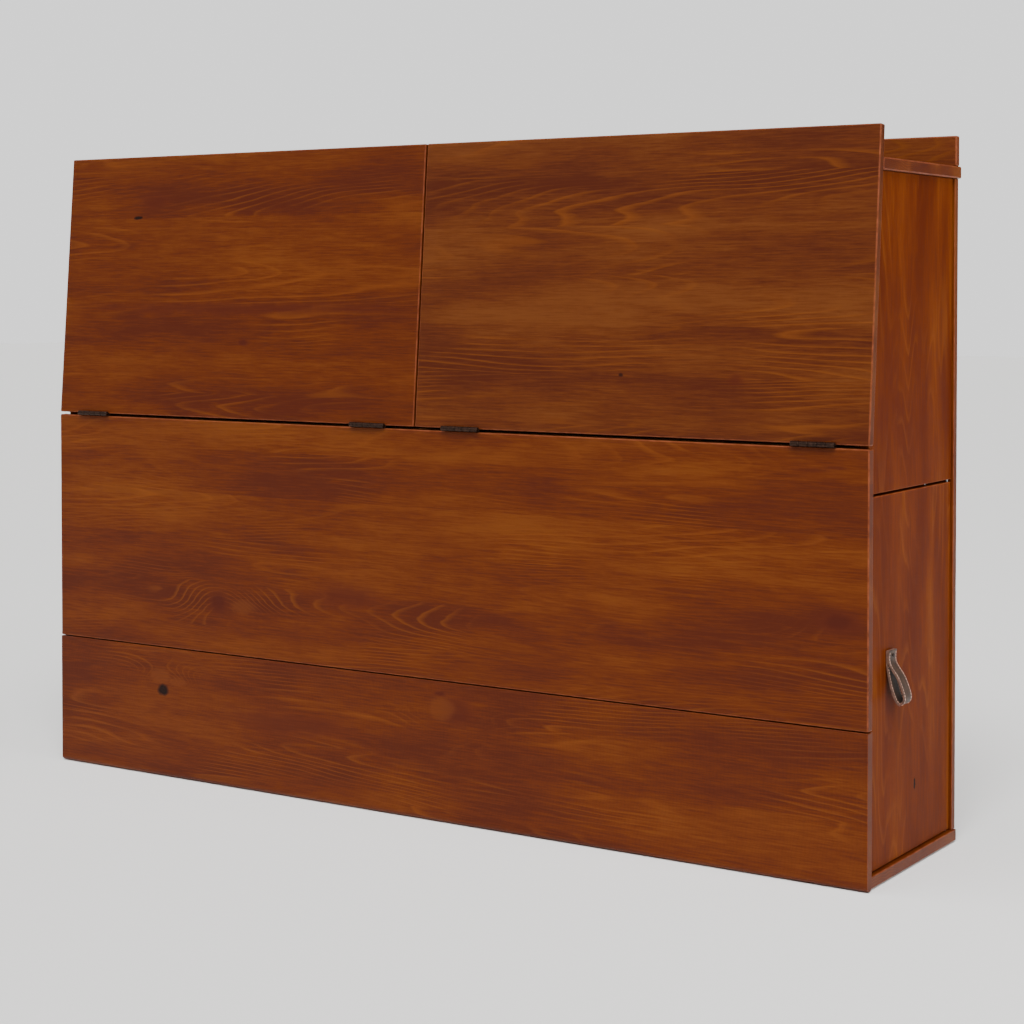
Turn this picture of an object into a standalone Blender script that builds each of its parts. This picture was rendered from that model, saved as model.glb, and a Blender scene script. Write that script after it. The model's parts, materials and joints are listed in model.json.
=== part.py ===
"""Low wall bed that folds up into a stained pine cabinet, as separate pieces. Blender 4.5, metres, +Z up.

The front of the closed cabinet looks along -Y. Heights are measured from the floor. Depths are measured
from the plane of the closed front boards, and at_depth() turns them into Y.
"""
from math import atan2, cos, hypot, pi, radians, sin, tan

import bmesh
import bpy
from mathutils import Matrix, Vector

# ---- driving dimensions (m) ----
WIDTH = 2.030                  # across the front boards and the upper doors
HEIGHT = 1.405                 # to the top edge of the upper doors
DEPTH = 0.449                  # from the front boards' face to the back edge of the top shelf
GAP = 0.0003                   # air between pieces that touch

BARREL_R = 0.0050              # hinge barrel of the upper doors
HINGE_Y, HINGE_Z = -0.0055, 0.8168
HINGE_X = (-0.905, -0.118, 0.118, 0.905)
HINGE_LENGTH = 0.090

FRONT = -(DEPTH + HINGE_Y - BARREL_R) / 2        # Y of the front boards' face, with the box centred on Y

FRONT_T = 0.020                # lower front boards
FRONT_TOP = 0.8112
SEAM_Z, SEAM_GAP = 0.2942, 0.0024
DOOR_T = 0.018                 # upper doors
DOOR_BOTTOM = 0.8171
DOOR_LEAN = 0.0476             # how far the top edge of an upper door lies behind its bottom edge
DOOR_MIDDLE_GAP = 0.004

SIDE_OUT = 1.005               # outer face of the sides, from the middle of the bed
SIDE_T = 0.020
SIDE_IN = SIDE_OUT - SIDE_T
BASE_Z = (0.003, 0.0255)
BASE_HALF, BASE_BACK = 1.013, 0.441
SIDE_DOOR_Z = (0.0285, 0.7210)
SIDE_PANEL_BOTTOM = 0.7260
STILE_Y = (0.424, 0.441)
SHELF_Z = (1.3207, 1.3445)
MID_SHELF_Z = (0.7945, 0.8125)
SIDE_DOOR_Y = (0.0215, 0.4210)
SIDE_PIN = (0.999, 0.415)      # upright axis of a side door: distance out, depth

PIVOT = (0.010, 0.011)         # axis of the bed's fold: depth, height
TAB_X = 0.900
FRAME_HALF = 0.950             # end of the bed frame
RAIL_Z = (0.030, 0.780)
RAIL_Y = (FRONT_T + GAP, 0.0647)
SLAT_Y = (0.0650, 0.0800)
SLAT_COUNT, SLAT_WIDTH = 14, 0.060
MATTRESS_Z, MATTRESS_Y = (0.031, 0.766), (0.0803, 0.2053)
MATTRESS_HALF, MATTRESS_R = 0.935, 0.035

DAMPER_X = 0.9575              # middle of the slot between bed frame and carcass
DAMPER_A = (0.396, 0.120)      # pivot of the cylinder on the carcass: depth, height
DAMPER_STUD = (PIVOT[0] + 0.032, PIVOT[1] + 0.060)

STRAP_Y, STRAP_WIDTH, STRAP_T = 0.1200, 0.036, 0.0035
STRAP_TOP = 0.430

LEAN = atan2(DOOR_LEAN, HEIGHT - DOOR_BOTTOM)
SIDES = {"left": -1, "right": 1}

COLOURS = {
    "pine": ((0.18, 0.055, 0.022), 0.42, 0.0),
    "pine_side": ((0.20, 0.062, 0.025), 0.42, 0.0),
    "pine_inside": ((0.24, 0.10, 0.045), 0.55, 0.0),
    "bronze": ((0.06, 0.035, 0.025), 0.38, 0.9),
    "steel": ((0.45, 0.45, 0.46), 0.35, 1.0),
    "black_tube": ((0.02, 0.02, 0.022), 0.35, 0.6),
    "leather": ((0.09, 0.045, 0.022), 0.6, 0.0),
    "ticking": ((0.72, 0.68, 0.60), 0.9, 0.0),
    "webbing": ((0.10, 0.09, 0.08), 0.85, 0.0),
    "felt": ((0.30, 0.27, 0.24), 0.95, 0.0),
    "ply": ((0.50, 0.34, 0.18), 0.6, 0.0),
}


# ---- helpers ----
def clear_scene():
    for obj in list(bpy.data.objects):
        bpy.data.objects.remove(obj, do_unlink=True)


def at_depth(depth):
    return FRONT + depth


def material(kind, name):
    colour, roughness, metallic = COLOURS[kind]
    mat = bpy.data.materials.new(name)
    mat.use_nodes = True
    shader = mat.node_tree.nodes["Principled BSDF"]
    shader.inputs["Base Color"].default_value = (*colour, 1.0)
    shader.inputs["Roughness"].default_value = roughness
    shader.inputs["Metallic"].default_value = metallic
    return mat


def finish(name, bm, kind, origin=(0, 0, 0), round_angle=None):
    """Make the object of a node from bm, given in world coordinates, with its origin at the given point."""
    bmesh.ops.recalc_face_normals(bm, faces=bm.faces)
    bmesh.ops.translate(bm, verts=bm.verts, vec=-Vector(origin))
    mesh = bpy.data.meshes.new(name)
    bm.to_mesh(mesh)
    bm.free()
    obj = bpy.data.objects.new(name, mesh)
    obj.location = origin
    bpy.context.collection.objects.link(obj)
    mesh.materials.append(material(kind, name))
    if round_angle:
        mesh.shade_smooth()
        mesh.set_sharp_from_angle(angle=radians(round_angle))
    return obj


def add_box(bm, x, y, z):
    """A box between two X, two depths and two heights."""
    size = (abs(x[1] - x[0]), abs(y[1] - y[0]), abs(z[1] - z[0]))
    centre = ((x[0] + x[1]) / 2, at_depth((y[0] + y[1]) / 2), (z[0] + z[1]) / 2)
    bmesh.ops.create_cube(bm, size=1, matrix=Matrix.Translation(centre) @ Matrix.Diagonal((*size, 1)))


def add_rod(bm, start, end, radius, sides=12, end_radius=None):
    """A round bar between two points, each given as X, depth and height."""
    a = Vector((start[0], at_depth(start[1]), start[2]))
    b = Vector((end[0], at_depth(end[1]), end[2]))
    turn = (b - a).to_track_quat("Z", "Y").to_matrix().to_4x4()
    bmesh.ops.create_cone(bm, cap_ends=True, cap_tris=False, segments=sides, radius1=radius,
                          radius2=radius if end_radius is None else end_radius, depth=(b - a).length,
                          matrix=Matrix.Translation((a + b) / 2) @ turn)


def add_prism(bm, outline, x):
    """An outline of depths and heights, drawn out between two X."""
    ends = [[bm.verts.new((side, at_depth(d), z)) for d, z in outline] for side in x]
    bm.faces.new(ends[0])
    bm.faces.new(reversed(ends[1]))
    for i in range(len(outline)):
        j = (i + 1) % len(outline)
        bm.faces.new((ends[0][j], ends[0][i], ends[1][i], ends[1][j]))


def soften(obj, width, segments=2, angle=40):
    """Round the sharp arrises of a board."""
    bevel = obj.modifiers.new("arris", "BEVEL")
    bevel.width = width
    bevel.segments = segments
    bevel.limit_method = "ANGLE"
    bevel.angle_limit = radians(angle)
    bevel.use_clamp_overlap = True


def board(name, x, y, z, kind="pine", arris=0.001, segments=1, origin=(0, 0, 0)):
    bm = bmesh.new()
    add_box(bm, x, y, z)
    obj = finish(name, bm, kind, origin)
    if arris:
        soften(obj, arris, segments)
    return obj


def combine(obj, shapes, operation):
    """Cut a list of closed shapes out of a node, or join them to it. A shape is a function of a bmesh."""
    for i, shape in enumerate(shapes):
        bm = bmesh.new()
        shape(bm)
        bmesh.ops.recalc_face_normals(bm, faces=bm.faces)
        mesh = bpy.data.meshes.new(f"{obj.name}_{operation.lower()}_{i}")
        bm.to_mesh(mesh)
        bm.free()
        tool = bpy.data.objects.new(mesh.name, mesh)
        bpy.context.collection.objects.link(tool)
        tool.hide_render = True
        tool.display_type = "WIRE"
        step = obj.modifiers.new(tool.name, "BOOLEAN")
        step.operation = operation
        step.object = tool


def cut(obj, *shapes):
    combine(obj, shapes, "DIFFERENCE")


def join(obj, *shapes):
    combine(obj, shapes, "UNION")


def box_shape(x, y, z):
    return lambda bm: add_box(bm, x, y, z)


def rod_shape(start, end, radius, sides=12):
    return lambda bm: add_rod(bm, start, end, radius, sides)


# ---- screws and their holes ----
SCREW_R, SCREW_HEAD_R, SCREW_HEAD = 0.0017, 0.0036, 0.0014
SCREW_SIDES = 10


def along(point, direction, distance):
    return tuple(p + d * distance for p, d in zip(point, direction))


def screw_hole(seat, direction, length=0.014):
    start, end = along(seat, direction, -0.004), along(seat, direction, length + 0.0004)
    return rod_shape(start, end, SCREW_R + 0.0005, SCREW_SIDES)


def screw(name, seat, direction, kind, origin, length):
    """A pan-head screw turned about its axis. seat is the point its head rests on."""
    axis = Vector(direction)
    side = Vector((0, 1, 0)) if abs(axis.x) > 0.5 else Vector((1, 0, 0))
    other = axis.cross(side)
    centre = Vector((seat[0], at_depth(seat[1]), seat[2]))
    profile = ((SCREW_HEAD_R * 0.7, -GAP - SCREW_HEAD), (SCREW_HEAD_R, -GAP - SCREW_HEAD * 0.4),
               (SCREW_HEAD_R, -GAP), (SCREW_R, -GAP), (SCREW_R, length - 0.002), (SCREW_R * 0.3, length))
    bm = bmesh.new()
    turns = [2 * pi * k / SCREW_SIDES for k in range(SCREW_SIDES)]
    rings = [[bm.verts.new(centre + axis * distance + (side * cos(t) + other * sin(t)) * radius) for t in turns]
             for radius, distance in profile]
    for low, high in zip(rings, rings[1:]):
        for k in range(SCREW_SIDES):
            j = (k + 1) % SCREW_SIDES
            bm.faces.new((low[k], low[j], high[j], high[k]))
    bm.faces.new(reversed(rings[0]))
    bm.faces.new(rings[-1])
    return finish(name, bm, kind, origin)


# ---- carcass ----
def door_back(z):
    """Depth of an upper door's back face at a height."""
    return (z - DOOR_BOTTOM) * tan(LEAN) + DOOR_T / cos(LEAN)


def make_base():
    base = board("base_board", (-BASE_HALF, BASE_HALF), (FRONT_T + 0.0005, BASE_BACK), BASE_Z, "pine", 0.002, 2)
    for side in (-1, 1):
        cut(base, box_shape((side * TAB_X - 0.0033, side * TAB_X + 0.0033), (0.010, 0.0503), (0.0, 0.030)),
            rod_shape((side * SIDE_PIN[0], SIDE_PIN[1], 0.0115), (side * SIDE_PIN[0], SIDE_PIN[1], 0.030), 0.0028))
    for name, depth in (("front", 0.065), ("back", 0.400)):
        board(f"floor_pad_{name}", (-0.960, 0.960), (depth - 0.018, depth + 0.018), (0, BASE_Z[0] - GAP),
              "felt", 0)


def make_uprights():
    for name, side in SIDES.items():
        board(f"front_post_{name}", (side * 0.965, side * (SIDE_IN - GAP)), (0.0215, 0.065),
              (BASE_Z[1] + GAP, MID_SHELF_Z[0] - GAP), "pine_inside")
        board(f"back_stile_{name}", (side * 0.950, side * 1.010), STILE_Y,
              (BASE_Z[1] + GAP, SHELF_Z[0] - GAP), "pine_side", 0.0015, 2)
        make_side_panel(name, side)


def make_side_panel(name, side):
    """Upper side panel, its front edge leaning back with the upper door."""
    top, edge = SHELF_Z[0] - GAP, FRONT_T + 0.0008
    outline = ((edge, SIDE_PANEL_BOTTOM), (STILE_Y[0] - GAP, SIDE_PANEL_BOTTOM), (STILE_Y[0] - GAP, top),
               (door_back(top) + 0.0025, top), (door_back(DOOR_BOTTOM + 0.006) + 0.0025, DOOR_BOTTOM + 0.006))
    bm = bmesh.new()
    add_prism(bm, outline, (side * SIDE_IN, side * SIDE_OUT))
    panel = finish(f"side_panel_{name}", bm, "pine_side")
    soften(panel, 0.0015, 2)
    pin = (side * SIDE_PIN[0], SIDE_PIN[1])
    cut(panel, rod_shape((*pin, 0.720), (*pin, 0.7425), 0.0028))


def make_shelves():
    board("mid_shelf", (-SIDE_IN + GAP, SIDE_IN - GAP), (0.0215, 0.4172), MID_SHELF_Z, "pine_inside")
    board("centre_divider", (-0.010, 0.010), (door_back(1.32) + 0.004, 0.4172),
          (MID_SHELF_Z[1] + GAP, SHELF_Z[0] - GAP), "pine_inside")
    board("top_shelf", (-1.0135, 1.0135), (door_back(SHELF_Z[1]) + 0.002, DEPTH), SHELF_Z, "pine", 0.003, 3)
    board("top_back_board", (-1.010, 1.010), (0.430, 0.447), (SHELF_Z[1] + GAP, HEIGHT), "pine", 0.003, 3)


def make_back():
    board("back_panel_lower", (-0.9495, 0.9495), (0.4175, 0.4237), (BASE_Z[1] + GAP, MID_SHELF_Z[0] - GAP),
          "pine_inside", 0)
    board("back_panel_upper", (-SIDE_IN + GAP, SIDE_IN - GAP), (0.4175, 0.4237),
          (MID_SHELF_Z[1] + GAP, SHELF_Z[0] - GAP), "pine_inside", 0)
    for name, side in SIDES.items():
        x = side * 0.600
        plate = board(f"wall_plate_{name}", (x - 0.030, x + 0.030), (0.4473, 0.4488), (1.3520, 1.3980), "steel", 0)
        cut(plate, rod_shape((x, 0.440, 1.375), (x, 0.455, 1.375), 0.0035))


def make_carcass_metal():
    for name, side in SIDES.items():
        make_pivot_tab(name, side)
        make_damper_bracket(name, side)


def make_pivot_tab(name, side):
    """Steel tab let into the base, with the bore of the bed's pivot in its round nose."""
    arc = [(PIVOT[0] - 0.0055 * sin(pi * k / 10), PIVOT[1] + 0.0055 * cos(pi * k / 10)) for k in range(11)]
    outline = arc + [(0.0500, 0.0055), (0.0500, 0.0278), (0.0245, 0.0278), (0.0245, 0.0165)]
    bm = bmesh.new()
    add_prism(bm, outline, (side * TAB_X - 0.0025, side * TAB_X + 0.0025))
    tab = finish(f"pivot_tab_{name}", bm, "steel")
    join(tab, box_shape((side * TAB_X - 0.016, side * TAB_X + 0.016), (0.0250, 0.0600), (0.0258, 0.0278)))
    cut(tab, rod_shape((side * TAB_X - 0.01, *PIVOT), (side * TAB_X + 0.01, *PIVOT), 0.0033, 16))


def make_damper_bracket(name, side):
    bm = bmesh.new()
    add_box(bm, (side * 0.9510, side * 0.9800), (0.4212, 0.4237), (DAMPER_A[1] - 0.030, DAMPER_A[1] + 0.030))
    bracket = finish(f"damper_bracket_{name}", bm, "steel")
    z = DAMPER_A[1]
    join(bracket, box_shape((side * 0.9655, side * 0.9685), (DAMPER_A[0] - 0.008, 0.4225), (z - 0.012, z + 0.012)),
         rod_shape((side * 0.9545, *DAMPER_A), (side * 0.9670, *DAMPER_A), 0.0030, 12))


# ---- hinges of the upper doors ----
KNUCKLES = 5
KNUCKLE = HINGE_LENGTH / KNUCKLES
HINGE_NAMES = ("left_outer", "left_inner", "right_inner", "right_outer")
LEAF_FRONT = HINGE_Y + BARREL_R + 0.0008


def knuckle_spans(x, first):
    """X spans of a leaf's own knuckles: first is 0 for the leaf with the outer ones, 1 for the other."""
    start = x - HINGE_LENGTH / 2
    return [(start + i * KNUCKLE + GAP, start + (i + 1) * KNUCKLE - GAP) for i in range(first, KNUCKLES, 2)]


def hinge_leaf(name, x, first, back, leaf_z, origin=(0, 0, 0)):
    """One leaf of a butt hinge with its knuckles, lying flat in the gap under the door."""
    bm = bmesh.new()
    half = HINGE_LENGTH / 2 - 2 * GAP
    add_box(bm, (x - half, x + half), (LEAF_FRONT, back), leaf_z)
    leaf = finish(name, bm, "bronze", origin)
    neck = (leaf_z[0] + 0.0001, leaf_z[1] - 0.0001)
    for low, high in knuckle_spans(x, first):
        join(leaf, box_shape((low + 0.0005, high - 0.0005), (HINGE_Y + 0.001, LEAF_FRONT + 0.002), neck),
             rod_shape((low, HINGE_Y, HINGE_Z), (high, HINGE_Y, HINGE_Z), BARREL_R, 16))
    return leaf


def make_fixed_hinge(name, x):
    """The lower leaf, screwed to the shelf, with the pin held in its outer knuckles."""
    leaf = hinge_leaf(f"hinge_fixed_{name}", x, 0, 0.0450, (0.8128, 0.8144))
    half = HINGE_LENGTH / 2 - 0.004
    join(leaf, rod_shape((x - half, HINGE_Y, HINGE_Z), (x + half, HINGE_Y, HINGE_Z), 0.0025))


def make_moving_hinge(name, x, axis):
    leaf = hinge_leaf(f"hinge_moving_{name}", x, 1, 0.0165, (0.8152, 0.8168), axis)
    cut(leaf, rod_shape((x - 0.1, HINGE_Y, HINGE_Z), (x + 0.1, HINGE_Y, HINGE_Z), 0.0029))


def make_upper_door(name, side):
    """A door that leans back, hung on two hinges along its bottom edge."""
    axis = (0, at_depth(HINGE_Y), HINGE_Z)
    length = (HEIGHT - DOOR_BOTTOM) / cos(LEAN)
    top = (sin(LEAN) * length, DOOR_BOTTOM + cos(LEAN) * length)
    outline = ((0, DOOR_BOTTOM), top, (top[0] + DOOR_T * cos(LEAN), top[1] - DOOR_T * sin(LEAN)),
               (DOOR_T / cos(LEAN), DOOR_BOTTOM))
    bm = bmesh.new()
    add_prism(bm, outline, (side * DOOR_MIDDLE_GAP / 2, side * WIDTH / 2))
    soften(finish(f"upper_door_{name}", bm, "pine", axis), 0.0025, 3)
    for hinge, x in zip(HINGE_NAMES, HINGE_X):
        if x * side > 0:
            make_moving_hinge(hinge, x, axis)


# ---- the bed ----
BED_AXIS = (0, FRONT + PIVOT[0], PIVOT[1])


def make_front_boards():
    arris = 0.0025
    board("front_board_middle", (-WIDTH / 2, WIDTH / 2), (0, FRONT_T),
          (SEAM_Z + SEAM_GAP / 2, FRONT_TOP), "pine", arris, 3, BED_AXIS)
    radius = PIVOT[0]
    arc = [(PIVOT[0] + radius * cos(pi * k / 12), PIVOT[1] - radius * sin(pi * k / 12)) for k in range(13)]
    top = SEAM_Z - SEAM_GAP / 2
    bm = bmesh.new()
    add_prism(bm, arc + [(0, top), (FRONT_T, top)], (-WIDTH / 2, WIDTH / 2))
    bottom = finish("front_board_bottom", bm, "pine", BED_AXIS)
    soften(bottom, arris, 3)
    for side in (-1, 1):
        x = side * TAB_X
        cut(bottom, box_shape((x - 0.0035, x + 0.0035), (PIVOT[0] - 0.0065, 0.030), (-0.01, PIVOT[1] + 0.0065)),
            rod_shape((x - 0.0155, *PIVOT), (x + 0.0155, *PIVOT), 0.0033, 16))
    for name, side in SIDES.items():
        bm = bmesh.new()
        add_rod(bm, (side * TAB_X - 0.015, *PIVOT), (side * TAB_X + 0.015, *PIVOT), 0.0029, 16)
        finish(f"pivot_pin_{name}", bm, "steel", BED_AXIS, round_angle=40)


def make_bed_frame():
    z = RAIL_Z
    for name, span in (("lower", (z[0], z[0] + 0.028)), ("upper", (z[1] - 0.028, z[1]))):
        board(f"bed_rail_{name}", (-FRAME_HALF, FRAME_HALF), RAIL_Y, span, "ply", 0.001, 1, BED_AXIS)
    inner = (z[0] + 0.028 + GAP, z[1] - 0.028 - GAP)
    for name, side in SIDES.items():
        rail = board(f"bed_end_rail_{name}", (side * (FRAME_HALF - 0.028), side * FRAME_HALF), RAIL_Y, inner,
                     "ply", 0.001, 1, BED_AXIS)
        stud = (side * FRAME_HALF, *DAMPER_STUD)
        cut(rail, rod_shape(along(stud, (side, 0, 0), -0.014), along(stud, (side, 0, 0), 0.01), 0.0033))
        make_stud(name, side, stud)
    make_slats()


def make_slats():
    """Slats joined by two cloth tapes, as on a roll-out slat base."""
    half = FRAME_HALF - 0.040 - SLAT_WIDTH / 2
    pitch = 2 * half / (SLAT_COUNT - 1)
    ends = (RAIL_Z[0] + 0.002, RAIL_Z[1] - 0.002)
    bm = bmesh.new()
    for i in range(SLAT_COUNT):
        x = -half + i * pitch
        add_box(bm, (x - SLAT_WIDTH / 2, x + SLAT_WIDTH / 2), SLAT_Y, ends)
    slats = finish("bed_slats", bm, "ply", BED_AXIS)
    for z in (0.200, 0.610):
        tape = (SLAT_Y[0] + 0.002, SLAT_Y[0] + 0.0035)
        join(slats, box_shape((-half - 0.025, half + 0.025), tape, (z, z + 0.030)))


def make_stud(name, side, stud):
    """Stud that the damper's rod works on, its low head standing in the slot."""
    bm = bmesh.new()
    outward = (side, 0, 0)
    add_rod(bm, along(stud, outward, -0.0135), along(stud, outward, 0.0028), 0.0030, 12)
    finish(f"damper_stud_{name}", bm, "steel", BED_AXIS, round_angle=40)


def rounded_box_outline(y, z, radius, steps=5):
    corners = ((y[1] - radius, z[0] + radius, -pi / 2), (y[1] - radius, z[1] - radius, 0),
               (y[0] + radius, z[1] - radius, pi / 2), (y[0] + radius, z[0] + radius, pi))
    return [(d + radius * cos(start + pi / 2 * k / steps), h + radius * sin(start + pi / 2 * k / steps))
            for d, h, start in corners for k in range(steps + 1)]


def make_mattress():
    bm = bmesh.new()
    add_prism(bm, rounded_box_outline(MATTRESS_Y, MATTRESS_Z, MATTRESS_R), (-MATTRESS_HALF, MATTRESS_HALF))
    finish("mattress", bm, "ticking", BED_AXIS, round_angle=40)
    for name, side in SIDES.items():
        make_mattress_strap(name, side)


def make_mattress_strap(name, side):
    """Band that holds the mattress on the slats when the bed stands on edge."""
    gap, band = 0.0005, 0.0020
    inner, outer = gap, gap + band
    paths = []
    for grow in (inner, outer):
        y, z = (MATTRESS_Y[0], MATTRESS_Y[1] + grow), (MATTRESS_Z[0] - grow, MATTRESS_Z[1] + grow)
        ring = rounded_box_outline(y, z, MATTRESS_R + grow)[:12]
        paths.append([(0.0806, z[0])] + ring + [(0.0806, z[1])])
    outline = paths[0] + paths[1][::-1]
    x = side * 0.450
    bm = bmesh.new()
    low, high = (x - 0.020, x + 0.020)
    count = len(paths[0])
    rows = [[bm.verts.new((px, at_depth(d), h)) for d, h in outline] for px in (low, high)]
    for i in range(count - 1):
        j = len(outline) - 1 - i
        bm.faces.new((rows[0][i], rows[0][i + 1], rows[0][j - 1], rows[0][j]))
        bm.faces.new((rows[1][i + 1], rows[1][i], rows[1][j], rows[1][j - 1]))
    for i in range(len(outline)):
        j = (i + 1) % len(outline)
        bm.faces.new((rows[0][j], rows[0][i], rows[1][i], rows[1][j]))
    finish(f"mattress_strap_{name}", bm, "webbing", BED_AXIS)


# ---- side doors with their straps ----
def make_side_door(name, side):
    axis = (side * SIDE_PIN[0], at_depth(SIDE_PIN[1]), SIDE_DOOR_Z[0])
    door = board(f"side_door_{name}", (side * SIDE_IN, side * SIDE_OUT), SIDE_DOOR_Y, SIDE_DOOR_Z,
                 "pine_side", 0.002, 3, axis)
    pin = (side * SIDE_PIN[0], SIDE_PIN[1])
    ends = ((0.0120, 0.0450), (0.7050, 0.7420))
    seat = ((side * (SIDE_OUT + 2 * STRAP_T + 0.0006), STRAP_Y, STRAP_TOP - 0.010), (-side, 0, 0))
    cut(door, *(rod_shape((*pin, low - 0.0004), (*pin, high + 0.0004), 0.0028) for low, high in ends),
        screw_hole(*seat, 0.022))
    for place, (low, high) in zip(("bottom", "top"), ends):
        bm = bmesh.new()
        add_rod(bm, (*pin, low), (*pin, high), 0.0025, 12)
        finish(f"side_door_pin_{place}_{name}", bm, "steel", axis, round_angle=40)
    make_strap_loop(name, side, axis, seat)


def strap_path():
    """Middle line of the leather band, as distance out from the door and height, top to top."""
    half = STRAP_T / 2 + GAP
    beside = half + STRAP_T + GAP
    shape = ((half, 0), (half, -0.024), (half + 0.003, -0.046), (half + 0.009, -0.071), (half + 0.0165, -0.090),
             (half + 0.0245, -0.0985), (half + 0.0325, -0.0935), (half + 0.0330, -0.0800),
             (half + 0.0215, -0.0510), (beside, -0.024), (beside, 0))
    knots = [(out, STRAP_TOP + drop) for out, drop in shape]
    points = []
    for i in range(len(knots) - 1):
        a, b = Vector(knots[i]), Vector(knots[i + 1])
        before = Vector(knots[i - 1]) if i else a
        after = Vector(knots[i + 2]) if i + 2 < len(knots) else b
        steps = 1 if i in (0, len(knots) - 2) else 3
        for k in range(steps):
            t = k / steps
            points.append(0.5 * ((2 * a) + (b - before) * t + (2 * before - 5 * a + 4 * b - after) * t * t
                                 + (3 * a - before - 3 * b + after) * t ** 3))
    return points + [Vector(knots[-1])]


def make_strap_loop(name, side, axis, seat):
    path = strap_path()
    rings = []
    bm = bmesh.new()
    for i, point in enumerate(path):
        way = (path[min(i + 1, len(path) - 1)] - path[max(i - 1, 0)]).normalized()
        normal = Vector((-way.y, way.x)) * STRAP_T / 2
        ring = []
        for offset, dy in ((-1, -1), (1, -1), (1, 1), (-1, 1)):
            out, z = point + normal * offset
            ring.append(bm.verts.new((side * (SIDE_OUT + out), at_depth(STRAP_Y + dy * STRAP_WIDTH / 2), z)))
        rings.append(ring)
    for low, high in zip(rings, rings[1:]):
        for k in range(4):
            j = (k + 1) % 4
            bm.faces.new((low[k], low[j], high[j], high[k]))
    bm.faces.new(reversed(rings[0]))
    bm.faces.new(rings[-1])
    loop = finish(f"strap_loop_{name}", bm, "leather", axis)
    cut(loop, screw_hole(*seat, 0.022))
    screw(f"strap_screw_{name}", *seat, "bronze", axis, 0.020)


# ---- gas dampers ----
def make_damper(name, side):
    start = (side * DAMPER_X, *DAMPER_A)
    run = (DAMPER_STUD[0] - DAMPER_A[0], DAMPER_STUD[1] - DAMPER_A[1])
    length = hypot(*run)
    way = (0, run[0] / length, run[1] / length)
    axis = (start[0], at_depth(start[1]), start[2])
    bm = bmesh.new()
    add_rod(bm, along(start, way, 0.012), along(start, way, 0.240), 0.0058, 16)
    tube = finish(f"damper_cylinder_{name}", bm, "black_tube", axis)
    eye = (start[0] - side * 0.0035, start[0] + side * 0.0055)
    join(tube, rod_shape((eye[0], *DAMPER_A), (eye[1], *DAMPER_A), 0.0072, 16),
         rod_shape(along(start, way, 0.004), along(start, way, 0.014), 0.0035))
    cut(tube, rod_shape(along(start, way, 0.080), along(start, way, 0.230), 0.0046, 16),
        rod_shape(along(start, way, 0.200), along(start, way, 0.250), 0.0036),
        rod_shape((start[0] - 0.012, *DAMPER_A), (start[0] + 0.012, *DAMPER_A), 0.0034))
    bm = bmesh.new()
    add_rod(bm, along(start, way, 0.110), along(start, way, length - 0.004), 0.0031, 12)
    rod = finish(f"damper_rod_{name}", bm, "steel", axis)
    stud = (start[0], *DAMPER_STUD)
    join(rod, rod_shape(along(start, way, 0.100), along(start, way, 0.1105), 0.0042),
         rod_shape((stud[0] - side * 0.0025, *DAMPER_STUD), (stud[0] + side * 0.0045, *DAMPER_STUD), 0.0065, 16))


def main():
    clear_scene()
    make_base()
    make_uprights()
    make_shelves()
    make_back()
    make_carcass_metal()
    for name, x in zip(HINGE_NAMES, HINGE_X):
        make_fixed_hinge(name, x)
    make_front_boards()
    make_bed_frame()
    make_mattress()
    for name, side in SIDES.items():
        make_upper_door(name, side)
        make_side_door(name, side)
        make_damper(name, side)


main()
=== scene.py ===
"""The looks of a low wall bed in stained pine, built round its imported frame."""
import json
import logging
from dataclasses import dataclass
from enum import Enum
from math import atan, cos, pi, radians, sin
from typing import Any, Callable, Optional, Sequence

import bpy
from mathutils import Matrix, Vector


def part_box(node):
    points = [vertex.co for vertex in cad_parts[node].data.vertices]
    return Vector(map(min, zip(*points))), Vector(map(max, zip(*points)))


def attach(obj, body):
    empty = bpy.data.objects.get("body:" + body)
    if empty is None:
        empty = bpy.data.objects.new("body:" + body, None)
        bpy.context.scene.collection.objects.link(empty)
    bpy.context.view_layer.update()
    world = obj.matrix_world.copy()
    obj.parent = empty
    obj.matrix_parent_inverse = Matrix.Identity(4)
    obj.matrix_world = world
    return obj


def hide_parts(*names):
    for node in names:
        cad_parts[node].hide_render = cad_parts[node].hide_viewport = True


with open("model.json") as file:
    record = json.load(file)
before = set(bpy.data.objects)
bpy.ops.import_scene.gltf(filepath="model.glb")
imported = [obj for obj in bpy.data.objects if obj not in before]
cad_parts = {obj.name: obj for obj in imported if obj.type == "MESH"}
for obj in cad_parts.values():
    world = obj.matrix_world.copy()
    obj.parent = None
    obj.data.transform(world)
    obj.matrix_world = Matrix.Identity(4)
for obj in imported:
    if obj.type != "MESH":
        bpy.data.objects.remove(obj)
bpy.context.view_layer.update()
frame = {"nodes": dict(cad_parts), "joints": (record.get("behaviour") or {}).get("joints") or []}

log = logging.getLogger("wall_bed")

SIDES: dict[str, int] = {"left": -1, "right": 1}
HINGE_NAMES: tuple[str, ...] = ("left_outer", "left_inner", "right_inner", "right_outer")
HINGE_X: tuple[float, ...] = (-0.905, -0.118, 0.118, 0.905)
ROUND_EDGE: float = 60.0                     # degrees that tell the rim of a turned part from its sides


# ---- colour and node sheets ----
def linear(code: str) -> tuple[float, float, float, float]:
    """Turn an sRGB hex colour into linear values.

    Args:
        code: six hex digits after a hash.

    Returns:
        Red, green, blue and alpha.
    """
    parts = [int(code[i:i + 2], 16) / 255 for i in (1, 3, 5)]
    return (*(p / 12.92 if p <= 0.04045 else ((p + 0.055) / 1.055) ** 2.4 for p in parts), 1.0)


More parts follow.
